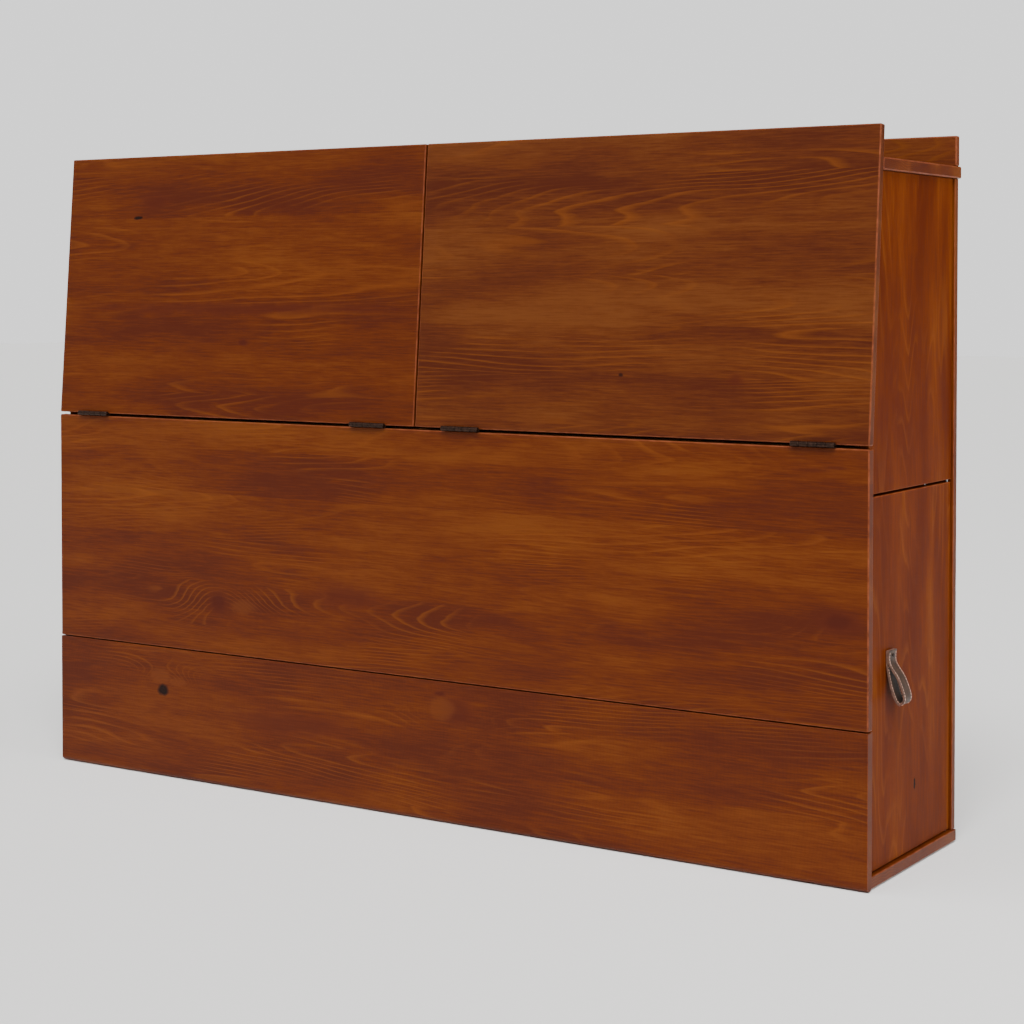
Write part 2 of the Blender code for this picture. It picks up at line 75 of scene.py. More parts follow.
class Sheet:
    """The node sheet of one material, with its shader and short names for the nodes used most."""

    def __init__(self, name: str) -> None:
        """Start a material of that name with a bare shader."""
        self.material = bpy.data.materials.new(name)
        self.material.use_nodes = True
        self.nodes = self.material.node_tree.nodes
        self.shader = self.nodes["Principled BSDF"]

    def add(self, kind: str, sockets: Optional[dict[Any, Any]] = None, **settings: Any) -> Any:
        """Add a node, set its options and feed its inputs.

        Args:
            kind: the node's type.
            sockets: for each input, the socket that feeds it or its value.
            settings: the node's own options.

        Returns:
            The node's outputs.
        """
        node = self.nodes.new(kind)
        for name, value in settings.items():
            setattr(node, name, value)
        self.feed(node, sockets or {})
        return node.outputs

    def feed(self, node: bpy.types.Node, sockets: dict[Any, Any]) -> None:
        """Link or set a node's inputs, given the socket or the value for each."""
        for name, value in sockets.items():
            if isinstance(value, bpy.types.NodeSocket):
                self.material.node_tree.links.new(value, node.inputs[name])
            else:
                node.inputs[name].default_value = value

    def axes(self, order: Sequence[str] = "XYZ") -> list[Any]:
        """Give the object's coordinates in that order."""
        parts = self.add("ShaderNodeSeparateXYZ", {0: self.place()})
        return [parts["XYZ".index(axis)] for axis in order]

    def place(self) -> Any:
        """Give the point on the object as a vector."""
        return self.add("ShaderNodeTexCoord")["Object"]

    def math(self, operation: str, *values: Any, **settings: Any) -> Any:
        """Reckon with sockets and numbers."""
        return self.add("ShaderNodeMath", dict(enumerate(values)), operation=operation, **settings)[0]

    def join(self, *parts: Any) -> Any:
        """Join up to three numbers to a vector."""
        return self.add("ShaderNodeCombineXYZ", dict(enumerate(parts)))[0]

    def length(self, *parts: Any) -> Any:
        """Measure the length of a vector given by its parts."""
        return self.add("ShaderNodeVectorMath", {0: self.join(*parts)}, operation="LENGTH")["Value"]

    def stretch(self, place: Any, scale: Sequence[float]) -> Any:
        """Scale a vector along its axes."""
        return self.add("ShaderNodeMapping", {"Vector": place, "Scale": scale})[0]

    def noise(self, place: Any, scale: float, detail: float = 2.0, roughness: float = 0.5) -> Any:
        """Give soft noise at a place."""
        return self.add("ShaderNodeTexNoise", {"Vector": place, "Scale": scale, "Detail": detail,
                                               "Roughness": roughness})[0]

    def spread(self, value: Any, *limits: float, smooth: bool = False) -> Any:
        """Map a value from its low and high limit to two others."""
        kind = "SMOOTHSTEP" if smooth else "LINEAR"
        return self.add("ShaderNodeMapRange", dict(enumerate((value, *limits))), interpolation_type=kind)[0]

    def ramp(self, value: Any, *stops: tuple[float, str]) -> Any:
        """Turn a value into a colour, with a place and a hex colour for each stop."""
        node = self.nodes.new("ShaderNodeValToRGB")
        self.feed(node, {0: value})
        elements = node.color_ramp.elements
        while len(elements) < len(stops):
            elements.new(0.5)
        for element, (place, code) in zip(elements, stops):
            element.position, element.color = place, linear(code)
        return node.outputs[0]

    def paint(self, amount: Any, under: Any, code: str) -> Any:
        """Lay a hex colour over another colour by an amount."""
        return self.add("ShaderNodeMix", {0: amount, 6: under, 7: linear(code)}, data_type="RGBA")[2]

    def finish(self, colour: Any, rough: Any, relief: Any, strength: float, depth: float,
               **values: float) -> bpy.types.Material:
        """Feed the shader and give the material.

        Args:
            colour: its colour.
            rough: its roughness.
            relief: the height of its surface.
            strength: how strongly the relief shows.
            depth: the depth of the relief in m.
            values: other inputs of the shader, with an underscore for each space.

        Returns:
            The finished material.
        """
        normal = self.add("ShaderNodeBump", {"Height": relief, "Strength": strength, "Distance": depth})[0]
        self.feed(self.shader, {"Base Color": colour, "Roughness": rough, "Normal": normal})
        self.feed(self.shader, {name.replace("_", " "): value for name, value in values.items()})
        return self.material


# ---- finishes ----
class Grain(Enum):
    """Which way a board's grain runs, as the order of its length, width and thickness axes."""

    ALONG = ("X", "Z", "Y")
    UPRIGHT = ("Z", "Y", "X")
    DEEP = ("X", "Y", "Z")
    TALL = ("Z", "X", "Y")


class Knot(Enum):
    """How a knot looks: hex colours of its heart and rim, how hard its edge is, and how strongly it shows."""

    BLACK = ("#150905", "#32150a", 0.55, 0.95)
    RED = ("#3f150a", "#4a1b0b", 0.05, 0.75)
    SHADE = ("#45180a", "#4a1b0b", 0.00, 0.50)
    PALE = ("#5b2b0c", "#6b3815", 0.20, 0.34)
    PIN = ("#260f07", "#3c170a", 0.30, 0.90)

    @property
    def pull(self) -> float:
        """How far the year rings bend round the knot, in its half widths."""
        return {Knot.SHADE: 0.0, Knot.PIN: 0.4}.get(self, 1.35)


@dataclass(frozen=True)
class KnotSpot:
    """A knot on a board: its place along and across the grain, its half sizes in m, and its kind."""

    along: float
    across: float
    length: float
    width: float
    kind: Knot

    def distance(self, s: Sheet, along: Any, across: Any, reach: tuple[float, float] = (1.0, 1.0)) -> Any:
        """Measure how far each point is from the knot, in its half sizes times the reach."""
        du = s.math("MULTIPLY", s.math("SUBTRACT", along, self.along), 1 / (self.length * reach[0]))
        dv = s.math("MULTIPLY", s.math("SUBTRACT", across, self.across), 1 / (self.width * reach[1]))
        return s.length(du, dv)

    def bend(self, s: Sheet, along: Any, across: Any, radius: Any) -> Any:
        """Push the year rings out round the knot."""
        wide = self.distance(s, along, across, (3.4, 2.6))
        fade = s.math("EXPONENT", s.math("MULTIPLY", s.math("MULTIPLY", wide, wide), -1.0))
        return s.math("MULTIPLY_ADD", fade, self.kind.pull * self.width, radius)

    def draw(self, s: Sheet, along: Any, across: Any, at: Any, colour: Any) -> Any:
        """Lay the knot's rim and its ringed heart over the wood, with a ragged edge."""
        heart_code, rim_code, hard, strength = self.kind.value
        ragged = s.math("MULTIPLY_ADD", s.noise(at, 0.55 / self.width), 0.9, -0.45)
        close = s.math("ADD", self.distance(s, along, across), ragged)
        rim = s.spread(close, 0.75, 1.5 - 0.7 * hard, 0.8 * strength, 0.0, smooth=True)
        core = s.spread(close, 0.35 + 0.4 * hard, 1.0, strength, 0.0, smooth=True)
        rings = s.math("SINE", s.math("MULTIPLY", close, 14.0))
        core = s.math("MULTIPLY_ADD", rings, 0.10 * hard, core, use_clamp=True)
        return s.paint(core, s.paint(rim, colour, rim_code), heart_code)


@dataclass(frozen=True)
class StainedPine:
    """Edge-glued pine, planed, stained red-brown and given a satin varnish.

    The stain sinks into the soft early wood and leaves the hard late wood paler, so thin light lines run
    along the grain and arch round knots. Each glued stave takes it a little differently.
    """

    name: str
    grain: Grain = Grain.ALONG
    seed: float = 0.0
    stave: float = 0.098          # width of a glued stave
    ring: float = 0.0052          # spacing of the year rings, as cut
    taper: float = 0.045          # drift of the rings along the board, which makes the arches
    figure: float = 1.0           # strength of the pale late wood lines
    dark: str = "#471a09"
    middle: str = "#562408"
    light: str = "#64320d"
    late: str = "#7a4213"
    # pale colour of the arrises: stain worn thin there, and a painted highlight
    arris: str = "#85472d"
    gloss: float = 0.10           # specular level of the varnish
    knots: tuple[KnotSpot, ...] = ()

    def make(self) -> bpy.types.Material:
        """Build the material."""
        s = Sheet(self.name)
        along, across, deep = s.axes(self.grain.value)
        shifted = s.math("ADD", along, self.seed * 3.7)
        at = s.join(shifted, across, deep)
        stave = s.math("ADD", s.math("MULTIPLY", across, 1 / self.stave), 40 + self.seed * 0.37)
        number = s.math("FLOOR", stave)
        chance = s.add("ShaderNodeTexWhiteNoise", {"W": number}, noise_dimensions="1D")["Color"]
        chance = s.add("ShaderNodeSeparateColor", {0: chance})

        radius = self.radius(s, shifted, deep, s.math("FRACT", stave), chance, at)
        for knot in self.knots:
            radius = knot.bend(s, along, across, radius)
        late = self.late_wood(s, radius, at)
        fibre = s.noise(s.stretch(at, (0.05, 1, 1)), 300.0, 5.0, 0.75)
        colour = self.stain(s, chance, fibre, at)
        colour = s.paint(s.math("MULTIPLY", late, 0.40 * self.figure), colour, self.late)
        for knot in self.knots:
            colour = knot.draw(s, along, across, at, colour)
        colour = self.rub_and_highlight(s, at, colour)
        rough = s.spread(fibre, 0.3, 0.7, 0.38, 0.52)
        relief = s.math("MULTIPLY_ADD", fibre, 0.7, late)
        return s.finish(colour, rough, relief, 0.22, 0.0003, Specular_IOR_Level=self.gloss)

    def radius(self, s: Sheet, along: Any, deep: Any, within: Any, chance: Any, at: Any) -> Any:
        """Measure the distance to the heart of the log, which lies behind the board and drifts along it."""
        side = s.math("ADD", within, s.math("MULTIPLY_ADD", chance[0], 1.3, -1.15))
        side = s.math("MULTIPLY", side, self.stave)
        back = s.math("ADD", deep, s.math("MULTIPLY_ADD", chance[1], 0.055, 0.270))
        drift = s.math("MULTIPLY", s.math("SUBTRACT", chance[2], 0.5), 2 * self.taper)
        radius = s.math("MULTIPLY_ADD", along, drift, s.length(side, back))
        for length, scale, amount in ((0.13, 7.0, 0.062), (0.08, 30.0, 0.0045)):
            wander = s.noise(s.stretch(at, (length, 1, 1)), scale)
            radius = s.math("MULTIPLY_ADD", wander, amount, radius)
        return radius

    def late_wood(self, s: Sheet, radius: Any, at: Any) -> Any:
        """Draw the late wood line of each year ring, plainer in some patches than in others."""
        ring = s.math("FRACT", s.math("MULTIPLY", radius, 1 / self.ring))
        late = s.ramp(ring, (0.0, "#303030"), (0.20, "#000000"), (0.62, "#101010"), (0.90, "#ffffff"),
                      (1.0, "#303030"))
        patch = s.noise(s.stretch(at, (0.35, 1, 1)), 9.0, 1.0)
        return s.math("MULTIPLY", late, s.spread(patch, 0.42, 0.68, 0.05, 1.0, smooth=True))

    def stain(self, s: Sheet, chance: Any, fibre: Any, at: Any) -> Any:
        """Mix soft clouds along the grain, the stave's own tone, fine fibres and flecks."""
        cloud = s.noise(s.stretch(at, (0.20, 1, 1)), 11.0, 4.0, 0.55)
        tone = s.math("ADD", cloud, s.math("MULTIPLY_ADD", chance[2], 0.16, -0.08))
        tone = s.math("ADD", s.math("MULTIPLY_ADD", fibre, 0.9, -0.45), tone)
        fleck = s.noise(s.stretch(at, (1, 0.16, 0.16)), 70.0)
        tone = s.math("MULTIPLY_ADD", fleck, 0.04, tone)
        return s.ramp(tone, (0.33, self.dark), (0.53, self.middle), (0.75, self.light))

    def rub_and_highlight(self, s: Sheet, at: Any, colour: Any) -> Any:
        """Thin the stain on the arrises and paint a pale highlight along them."""
        arris = s.add("ShaderNodeAttribute", attribute_name="arris")["Fac"]
        # pale arris colour: partly worn stain, partly a painted highlight on the rounded edges
        worn_and_highlight = s.spread(s.noise(at, 60.0), 0.35, 0.65, 0.20, 0.60)
        return s.paint(s.math("MULTIPLY", arris, worn_and_highlight), colour, self.arris)


@dataclass(frozen=True)
class PlainTimber:
    """Planed, unstained wood for the parts inside: birch slats or softwood rails, with faint fine grain."""

    name: str
    grain: Grain
    dark: str
    light: str
    line: float = 0.0035          # spacing of the grain lines
    seed: float = 0.0

    def make(self) -> bpy.types.Material:
        """Build the material."""
        s = Sheet(self.name)
        at = s.join(*s.axes(self.grain.value))
        at = s.add("ShaderNodeMapping", {"Vector": at, "Location": (self.seed, 0, 0),
                                         "Scale": (0.05, 1, 1)})[0]
        lines = s.noise(at, 1 / self.line, 4.0)
        tone = s.math("MULTIPLY_ADD", s.noise(at, 14.0), 0.6, lines)
        colour = s.ramp(tone, (0.6, self.dark), (1.0, self.light))
        return s.finish(colour, s.spread(lines, 0.3, 0.7, 0.50, 0.66), lines, 0.2, 0.0003)


@dataclass(frozen=True)
class Metal:
    """Drawn or pressed metal with handling marks: oiled bronze, zinc plate, lacquered tube."""

    name: str
    dark: str
    light: str
    metallic: float
    rough: tuple[float, float]
    grit: float = 0.0012          # size of the finish's mottling

    def make(self) -> bpy.types.Material:
        """Build the material."""
        s = Sheet(self.name)
        place = s.place()
        mottle = s.noise(place, 0.25 / self.grit, 4.0)
        grit = s.noise(place, 1 / self.grit)
        colour = s.ramp(mottle, (0.35, self.dark), (0.70, self.light))
        rough = s.spread(grit, 0.3, 0.7, *self.rough)
        return s.finish(colour, rough, grit, 0.12, 0.0001, Metallic=self.metallic)


@dataclass(frozen=True)
class Leather:
    """Vegetable-tanned leather: a dark waxed face with fine pores, or the paler fibres of a cut edge."""

    name: str
    dark: str
    light: str
    pore: float = 0.0009
    rough: float = 0.55

    def make(self) -> bpy.types.Material:
        """Build the material."""
        s = Sheet(self.name)
        place = s.place()
        pores = s.add("ShaderNodeTexVoronoi", {"Vector": place, "Scale": 1 / self.pore})["Distance"]
        colour = s.ramp(s.noise(place, 120.0, 4.0), (0.35, self.dark), (0.68, self.light))
        return s.finish(colour, s.spread(pores, 0.0, 0.8, self.rough + 0.12, self.rough), pores, 0.35, 0.0002)


@dataclass(frozen=True)
class Weave:
    """Plain weave, warp over weft, drawn from two crossed waves: ticking, webbing or pressed felt."""

    name: str
    dark: str
    light: str
    thread: float                 # spacing of the threads
    stripe: float = 0.0           # spacing of woven stripes, or 0 for none
    fuzz: float = 0.25

    def make(self) -> bpy.types.Material:
        """Build the material."""
        s = Sheet(self.name)
        place = s.place()
        x, _, z = s.axes()
        phases = [s.math("MULTIPLY", part, pi / self.thread) for part in (x, z)]
        weave = s.math("MULTIPLY", *(s.math("ABSOLUTE", s.math("SINE", phase)) for phase in phases))
        tone = s.math("MULTIPLY_ADD", s.noise(place, 0.5 / self.thread, 3.0), 0.5, weave)
        colour = s.ramp(tone, (0.15, self.dark), (0.90, self.light))
        if self.stripe:
            band = s.math("PINGPONG", s.math("MULTIPLY", x, 1 / self.stripe), 1.0)
            colour = s.paint(s.spread(band, 0.90, 0.93, 0.0, 0.75), colour, STRIPE)
        rough = s.spread(weave, 0.0, 1.0, 0.95, 0.80)
        return s.finish(colour, rough, tone, 0.5, 0.0004, Sheen_Weight=self.fuzz)


STRIPE: str = "#8b9099"                      # woven stripes of the ticking
FINISHES: dict[str, Any] = {
    # the arris colours of the inside pine are partly worn stain, partly a painted highlight
    "inside_pine": StainedPine("pine_inside", seed=8.0, dark="#8a5630", middle="#9a6439", light="#a97346",
                               late="#b9854f", arris="#b08256", figure=0.8),
    "inside_upright": StainedPine("pine_inside_upright", Grain.UPRIGHT, seed=9.0, dark="#8a5630",
                                  middle="#9a6439", light="#a97346", late="#b9854f", arris="#b08256"),
    "rail": PlainTimber("planed_softwood_rail", Grain.ALONG, "#b98f5c", "#d9b985"),
    "rail_upright": PlainTimber("planed_softwood_upright", Grain.TALL, "#b98f5c", "#d9b985", seed=3.0),
    "slat": PlainTimber("lacquered_birch_slat", Grain.TALL, "#c9a26c", "#e6cb9b", 0.0022),
    "bronze": Metal("oiled_bronze", "#1f130d", "#3e2a21", 0.85, (0.30, 0.46)),
    "zinc": Metal("zinc_plated_steel", "#8d9092", "#b4b6b6", 1.0, (0.30, 0.46), 0.004),
    "tube": Metal("black_lacquered_tube", "#0d0d0e", "#1a1a1c", 0.2, (0.24, 0.34)),
    "chrome_rod": Metal("hard_chromed_rod", "#b9bcc0", "#cfd2d5", 1.0, (0.12, 0.20), 0.002),
    "leather": Leather("waxed_leather_face", "#2c1c12", "#422d1e"),
    "leather_edge": Leather("cut_leather_edge", "#4c3328", "#6e4a3b", 0.0006, 0.75),
    "thread": Leather("waxed_linen_thread", "#b0826f", "#d8ae9c", 0.0004, 0.60),
    "ticking": Weave("cotton_ticking", "#cfc9bb", "#ece8de", 0.0016, stripe=0.045),
    "piping": Weave("cotton_piping", "#9aa0a8", "#c3c7cc", 0.0012),
    "webbing": Weave("elastic_webbing", "#1b1a19", "#3b3936", 0.0014, fuzz=0.1),
    "felt": Weave("pressed_wool_felt", "#4a443e", "#6f675f", 0.0010, fuzz=0.6),
}
MADE: dict[str, bpy.types.Material] = {}


def finish_of(name: str) -> bpy.types.Material:
    """Give the material of a named finish, built on first use."""
    if name not in MADE:
        MADE[name] = FINISHES[name].make()
    return MADE[name]


def dress(piece: bpy.types.Object, material: bpy.types.Material) -> None:
    """Give a piece one material in place of any it has."""
    piece.data.materials.clear()
    piece.data.materials.append(material)


# ---- bench tools ----
def put_down() -> None:
    """Leave edit mode and deselect everything."""
    if bpy.context.object and bpy.context.object.mode != "OBJECT":
        bpy.ops.object.mode_set(mode="OBJECT")
    bpy.ops.object.select_all(action="DESELECT")


def pick_up(piece: bpy.types.Object) -> None:
    """Make one piece the selected and active one."""
    put_down()
    piece.select_set(True)
    bpy.context.view_layer.objects.active = piece


def block(name: str, low: Sequence[float], high: Sequence[float], finish: str = "", arris: float = 0.0,
          segments: int = 3) -> bpy.types.Object:
    """Add a block between two corners, its place in its mesh.

    Args:
        name: the piece's name.
        low: lowest corner.
        high: highest corner.
        finish: its finish, if it gets one now.
        arris: how far its edges are rounded, if they are.
        segments: faces round each edge.

    Returns:
        The block.
    """
    put_down()
    low, high = Vector(low), Vector(high)
    bpy.ops.mesh.primitive_cube_add(size=1, location=(low + high) / 2, scale=high - low)
    piece = settle(bpy.context.object, name)
    if arris:
        soften(piece, arris, segments)
    if finish:
        dress(piece, finish_of(finish))
    return piece


def bar(name: str, start: Sequence[float], end: Sequence[float], radius: float, sides: int = 32,
        rim: float = 0.0, segments: int = 2) -> bpy.types.Object:
    """Add a round bar between two points, its place in its mesh.

    Args:
        name: the piece's name.
        start: centre of one end.
        end: centre of the other end.
        radius: its radius.
        sides: how many sides it has.
        rim: how far the rims of its ends are rounded, if they are.
        segments: faces round each rim.

    Returns:
        The bar.
    """
    put_down()
    a, b = Vector(start), Vector(end)
    turn = (b - a).to_track_quat("Z", "Y").to_euler()
    bpy.ops.mesh.primitive_cylinder_add(vertices=sides, radius=radius, depth=(b - a).length,
                                        location=(a + b) / 2, rotation=turn)
    piece = settle(bpy.context.object, name)
    if rim:
        soften(piece, rim, segments, ROUND_EDGE)
    return piece


def settle(piece: bpy.types.Object, name: str) -> bpy.types.Object:
    """Name a piece and move its place, turn and scale into its mesh."""
    piece.name = piece.data.name = name
    pick_up(piece)
    bpy.ops.object.transform_apply(location=True, rotation=True, scale=True)
    return piece


def soften(piece: bpy.types.Object, width: float, segments: int = 4, sharpness: float = 35.0) -> None:
    """Round the sharp edges of a piece, and mark the new faces as its arrises.

    Args:
        piece: the piece.
        width: how far the rounding reaches from the edge.
        segments: faces round each edge.
        sharpness: edges that turn by more than this many degrees are rounded.
    """
    mesh = piece.data
    mesh.materials.clear()
    for _ in range(2):                      # the bevel gives its new faces the second slot, which marks them
        mesh.materials.append(None)
    pick_up(piece)
    bpy.ops.object.mode_set(mode="EDIT")
    bpy.ops.mesh.select_mode(type="EDGE")
    bpy.ops.mesh.select_all(action="DESELECT")
    bpy.ops.mesh.edges_select_sharp(sharpness=radians(sharpness))
    bpy.ops.mesh.bevel(offset=width, segments=segments, affect="EDGES", clamp_overlap=True, material=1)
    bpy.ops.object.mode_set(mode="OBJECT")
    marks = mesh.attributes.get("arris") or mesh.attributes.new("arris", "FLOAT", "FACE")
    for polygon in mesh.polygons:
        polygon.use_smooth = polygon.material_index == 1
        marks.data[polygon.index].value = float(polygon.use_smooth)
        polygon.material_index = 0
    mesh.materials.clear()


def round_edges(piece: bpy.types.Object, width: float, segments: int,
                wanted: Callable[[Vector, Vector], bool]) -> None:
    """Round the edges of a piece that pass a test of their two ends."""
    pick_up(piece)
    mesh = piece.data
    for item in (*mesh.polygons, *mesh.vertices):
        item.select = False
    for edge in mesh.edges:
        edge.select = wanted(*(mesh.vertices[v].co for v in edge.vertices))
    bpy.context.tool_settings.mesh_select_mode = (False, True, False)
    bpy.ops.object.mode_set(mode="EDIT")
    bpy.ops.mesh.bevel(offset=width, segments=segments, affect="EDGES")
    bpy.ops.object.mode_set(mode="OBJECT")


def carve(piece: bpy.types.Object, low: Sequence[float], high: Sequence[float]) -> None:
    """Cut the block between two corners out of a piece."""
    tool = block("cutter", low, high)
    pick_up(piece)
    step = piece.modifiers.new("carve", "BOOLEAN")
    step.operation, step.object, step.solver = "DIFFERENCE", tool, "EXACT"
    bpy.ops.object.modifier_apply(modifier=step.name)
    bpy.data.objects.remove(tool, do_unlink=True)


def slice_off(piece: bpy.types.Object, point: Sequence[float], normal: Sequence[float]) -> None:
    """Saw a piece along a plane through a point, and drop what lies on the normal's side."""
    pick_up(piece)
    bpy.ops.object.mode_set(mode="EDIT")
    bpy.ops.mesh.select_all(action="SELECT")
    bpy.ops.mesh.bisect(plane_co=point, plane_no=normal, use_fill=True, clear_outer=True)
    bpy.ops.object.mode_set(mode="OBJECT")


def copy_of(piece: bpy.types.Object, name: str, move: Matrix) -> bpy.types.Object:
    """Copy a piece with its own mesh, moved by a matrix."""
    copy = piece.copy()
    copy.data = piece.data.copy()
    copy.name = copy.data.name = name
    bpy.context.scene.collection.objects.link(copy)
    copy.data.transform(move)
    return copy


def gather(pieces: Sequence[bpy.types.Object], name: str) -> bpy.types.Object:
    """Join pieces into one object of that name."""
    pick_up(pieces[0])
    for piece in pieces:
        piece.select_set(True)
    if len(pieces) > 1:
        bpy.ops.object.join()
    pieces[0].name = pieces[0].data.name = name
    return pieces[0]


def stand_for(piece: bpy.types.Object, body: str, *nodes: str) -> None:
    """Make a piece ride on a body and stand for nodes of the frame and report it."""
    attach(piece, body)
    if nodes:
        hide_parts(*nodes)
    log.info("%s rides on %s", piece.name, body)


# ---- boards ----
FRONT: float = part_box("front_board_middle")[0].y
DOOR_THICK: float = 0.018
NEAR: float = 1e-5                           # how close two faces lie when they count as one
CLEAR: float = 0.01                          # how far a cutter runs past the face that it opens


def joint_at(name: str) -> Vector:
    """Give a joint's place in the frame."""
    return Vector(next(joint["pos_m"] for joint in frame["joints"] if joint["name"] == name))


HINGE: Vector = joint_at("upper_door_fold_left")


@dataclass
class Board:
    """One solid board that stands for a node of the frame."""

    node: str
    body: str
    finish: StainedPine
    arris: float = 0.0025
    segments: int = 4

    def shape(self) -> bpy.types.Object:
        """Saw the board out, before its arrises are rounded."""
        return block(f"{self.node}_wood", *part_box(self.node))

    def notch(self, piece: bpy.types.Object) -> None:
        """Cut the board's slots, after its arrises are rounded. A plain board has none."""

    def build(self) -> None:
        """Make, round, notch and stain the board."""
        piece = self.shape()
        soften(piece, self.arris, self.segments)
        self.notch(piece)
        dress(piece, self.finish.make())
        stand_for(piece, self.body, self.node)


@dataclass
class BottomBoard(Board):
    """The lowest front board: bull-nosed below, and slotted for the pivot tabs."""

    slot_half: float = 0.0035
    slot_wall: float = 0.0035
    above_pin: float = 0.0065

    def shape(self) -> bpy.types.Object:
        """Saw the board and turn its lower edge to a half round."""
        low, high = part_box(self.node)
        piece = super().shape()
        round_edges(piece, (high.y - low.y) / 2 * 0.999, 16,
                    lambda a, b: max(a.z, b.z) < low.z + NEAR and abs(a.x - b.x) > 0.1)
        return piece

    def notch(self, piece: bpy.types.Object) -> None:
        """Cut a slot for each pivot tab."""
        low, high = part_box(self.node)
        top = low.z + (high.y - low.y) / 2 + self.above_pin
        for side in SIDES:
            middle = sum(corner.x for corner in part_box(f"pivot_tab_{side}")) / 2
            carve(piece, (middle - self.slot_half, low.y + self.slot_wall, low.z - CLEAR),
                  (middle + self.slot_half, high.y + CLEAR, top))


def lean_of(door: str) -> float:
    """Give the angle by which an upper door leans back."""
    low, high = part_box(door)
    return atan((high.y - low.y - DOOR_THICK) / (high.z - low.z))


@dataclass
class LeaningDoor(Board):
    """An upper door, hung along its bottom edge and leaning back."""

    spare: float = 0.004          # sawn off again once the door leans

    def shape(self) -> bpy.types.Object:
        """Saw the door square, lean it back and plane its bottom edge level."""
        low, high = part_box(self.node)
        lean = lean_of(self.node)
        foot = Vector((0, low.y, low.z))
        piece = block(f"{self.node}_wood", (low.x, low.y, low.z - self.spare),
                      (high.x, low.y + DOOR_THICK, low.z + (high.z - low.z) / cos(lean)))
        turn = Matrix.Rotation(-lean, 4, "X")
        piece.data.transform(Matrix.Translation(foot) @ turn @ Matrix.Translation(-foot))
        slice_off(piece, foot, (0, 0, -1))
        return piece


@dataclass
class LeaningPanel(Board):
    """An upper side panel, its front edge cut to the lean of the door."""

    door: str = "upper_door_left"
    clearance: float = 0.0025

    def shape(self) -> bpy.types.Object:
        """Saw the panel square, then cut its front edge along the door."""
        low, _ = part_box(self.door)
        lean = lean_of(self.door)
        piece = super().shape()
        start = low.y + DOOR_THICK / cos(lean) + self.clearance
        slice_off(piece, (0, start, low.z), (0, -cos(lean), sin(lean)))
        return piece


KNOTS: dict[str, tuple[tuple[float, float, float, float, Knot], ...]] = {
    "middle": ((-0.535, 0.409, 0.030, 0.026, Knot.RED), (-0.461, 0.404, 0.034, 0.014, Knot.PALE),
               (0.960, 0.493, 0.040, 0.020, Knot.RED), (0.903, 0.769, 0.040, 0.004, Knot.SHADE),
               (0.949, 0.775, 0.026, 0.003, Knot.SHADE), (-0.182, 0.452, 0.085, 0.024, Knot.SHADE)),
    "bottom": ((-0.707, 0.229, 0.027, 0.017, Knot.PALE), (-0.653, 0.219, 0.021, 0.009, Knot.PALE),
               (-0.698, 0.197, 0.017, 0.0145, Knot.BLACK), (0.110, 0.236, 0.034, 0.030, Knot.SHADE),
               (0.072, 0.236, 0.028, 0.024, Knot.PALE), (0.066, 0.268, 0.016, 0.005, Knot.RED),
               (-0.330, 0.160, 0.160, 0.022, Knot.SHADE)),
    "left": ((-0.801, 1.265, 0.014, 0.0045, Knot.BLACK), (-0.755, 1.303, 0.045, 0.016, Knot.SHADE),
             (-0.500, 1.060, 0.380, 0.013, Knot.SHADE), (-0.471, 0.985, 0.014, 0.007, Knot.RED)),
    "right": ((0.489, 0.935, 0.005, 0.004, Knot.PIN), (0.738, 0.931, 0.016, 0.010, Knot.SHADE)),
    "side_door": ((0.154, FRONT + 0.244, 0.013, 0.005, Knot.BLACK),),
}


def pine(name: str, seed: float, grain: Grain = Grain.ALONG, knots: str = "", **changes: Any) -> StainedPine:
    """Stain a board of its own, with the knots of that name in KNOTS."""
    spots = tuple(KnotSpot(*row) for row in KNOTS.get(knots, ()))
    return StainedPine(f"pine_{name}", grain, seed, knots=spots, **changes)


def build_boards() -> None:
    """Make every stained board that shows, each with its own staves and knots."""
    darker = {"dark": "#441a09", "middle": "#53260c", "light": "#5f3212"}
    # side boards get a paler stain as painted light, for the stronger light on the side face, and a lower
    # gloss
    side_lit_paler = {"gloss": 0.02, "dark": "#501d08", "middle": "#5f2808", "light": "#6e370c"}
    greyer = {"dark": "#4e2212", "middle": "#5e2d14", "light": "#6c3918"}
    boards = [
        Board("front_board_middle", "bed", pine("front_middle", 1.0, knots="middle")),
        BottomBoard("front_board_bottom", "bed", pine("front_bottom", 2.0, knots="bottom")),
        LeaningDoor("upper_door_left", "door_left", pine("door_left", 3.0, knots="left")),
        LeaningDoor("upper_door_right", "door_right", pine("door_right", 4.0, knots="right", **darker)),
    ]
    for name in SIDES:
        length = len(name)
        boards += [
            LeaningPanel(f"side_panel_{name}", "root",
                         pine(f"side_panel_{name}", 5.0 + length, Grain.UPRIGHT, **side_lit_paler),
                         arris=0.0015, door=f"upper_door_{name}"),
            Board(f"side_door_{name}", f"flank_{name}",
                  pine(f"side_door_{name}", 6.0 + length, Grain.UPRIGHT, "side_door", **side_lit_paler), arris=0.002),
            Board(f"back_stile_{name}", "root",
                  pine(f"back_stile_{name}", 7.5 + length, Grain.UPRIGHT), arris=0.0015),
        ]
    boards += [
        Board("top_shelf", "root", pine("top_shelf", 11.0, Grain.DEEP, ring=0.004), arris=0.003),
        Board("top_back_board", "root", pine("top_back_board", 12.0, **greyer), arris=0.003),
    ]
    for board in boards:
        board.build()


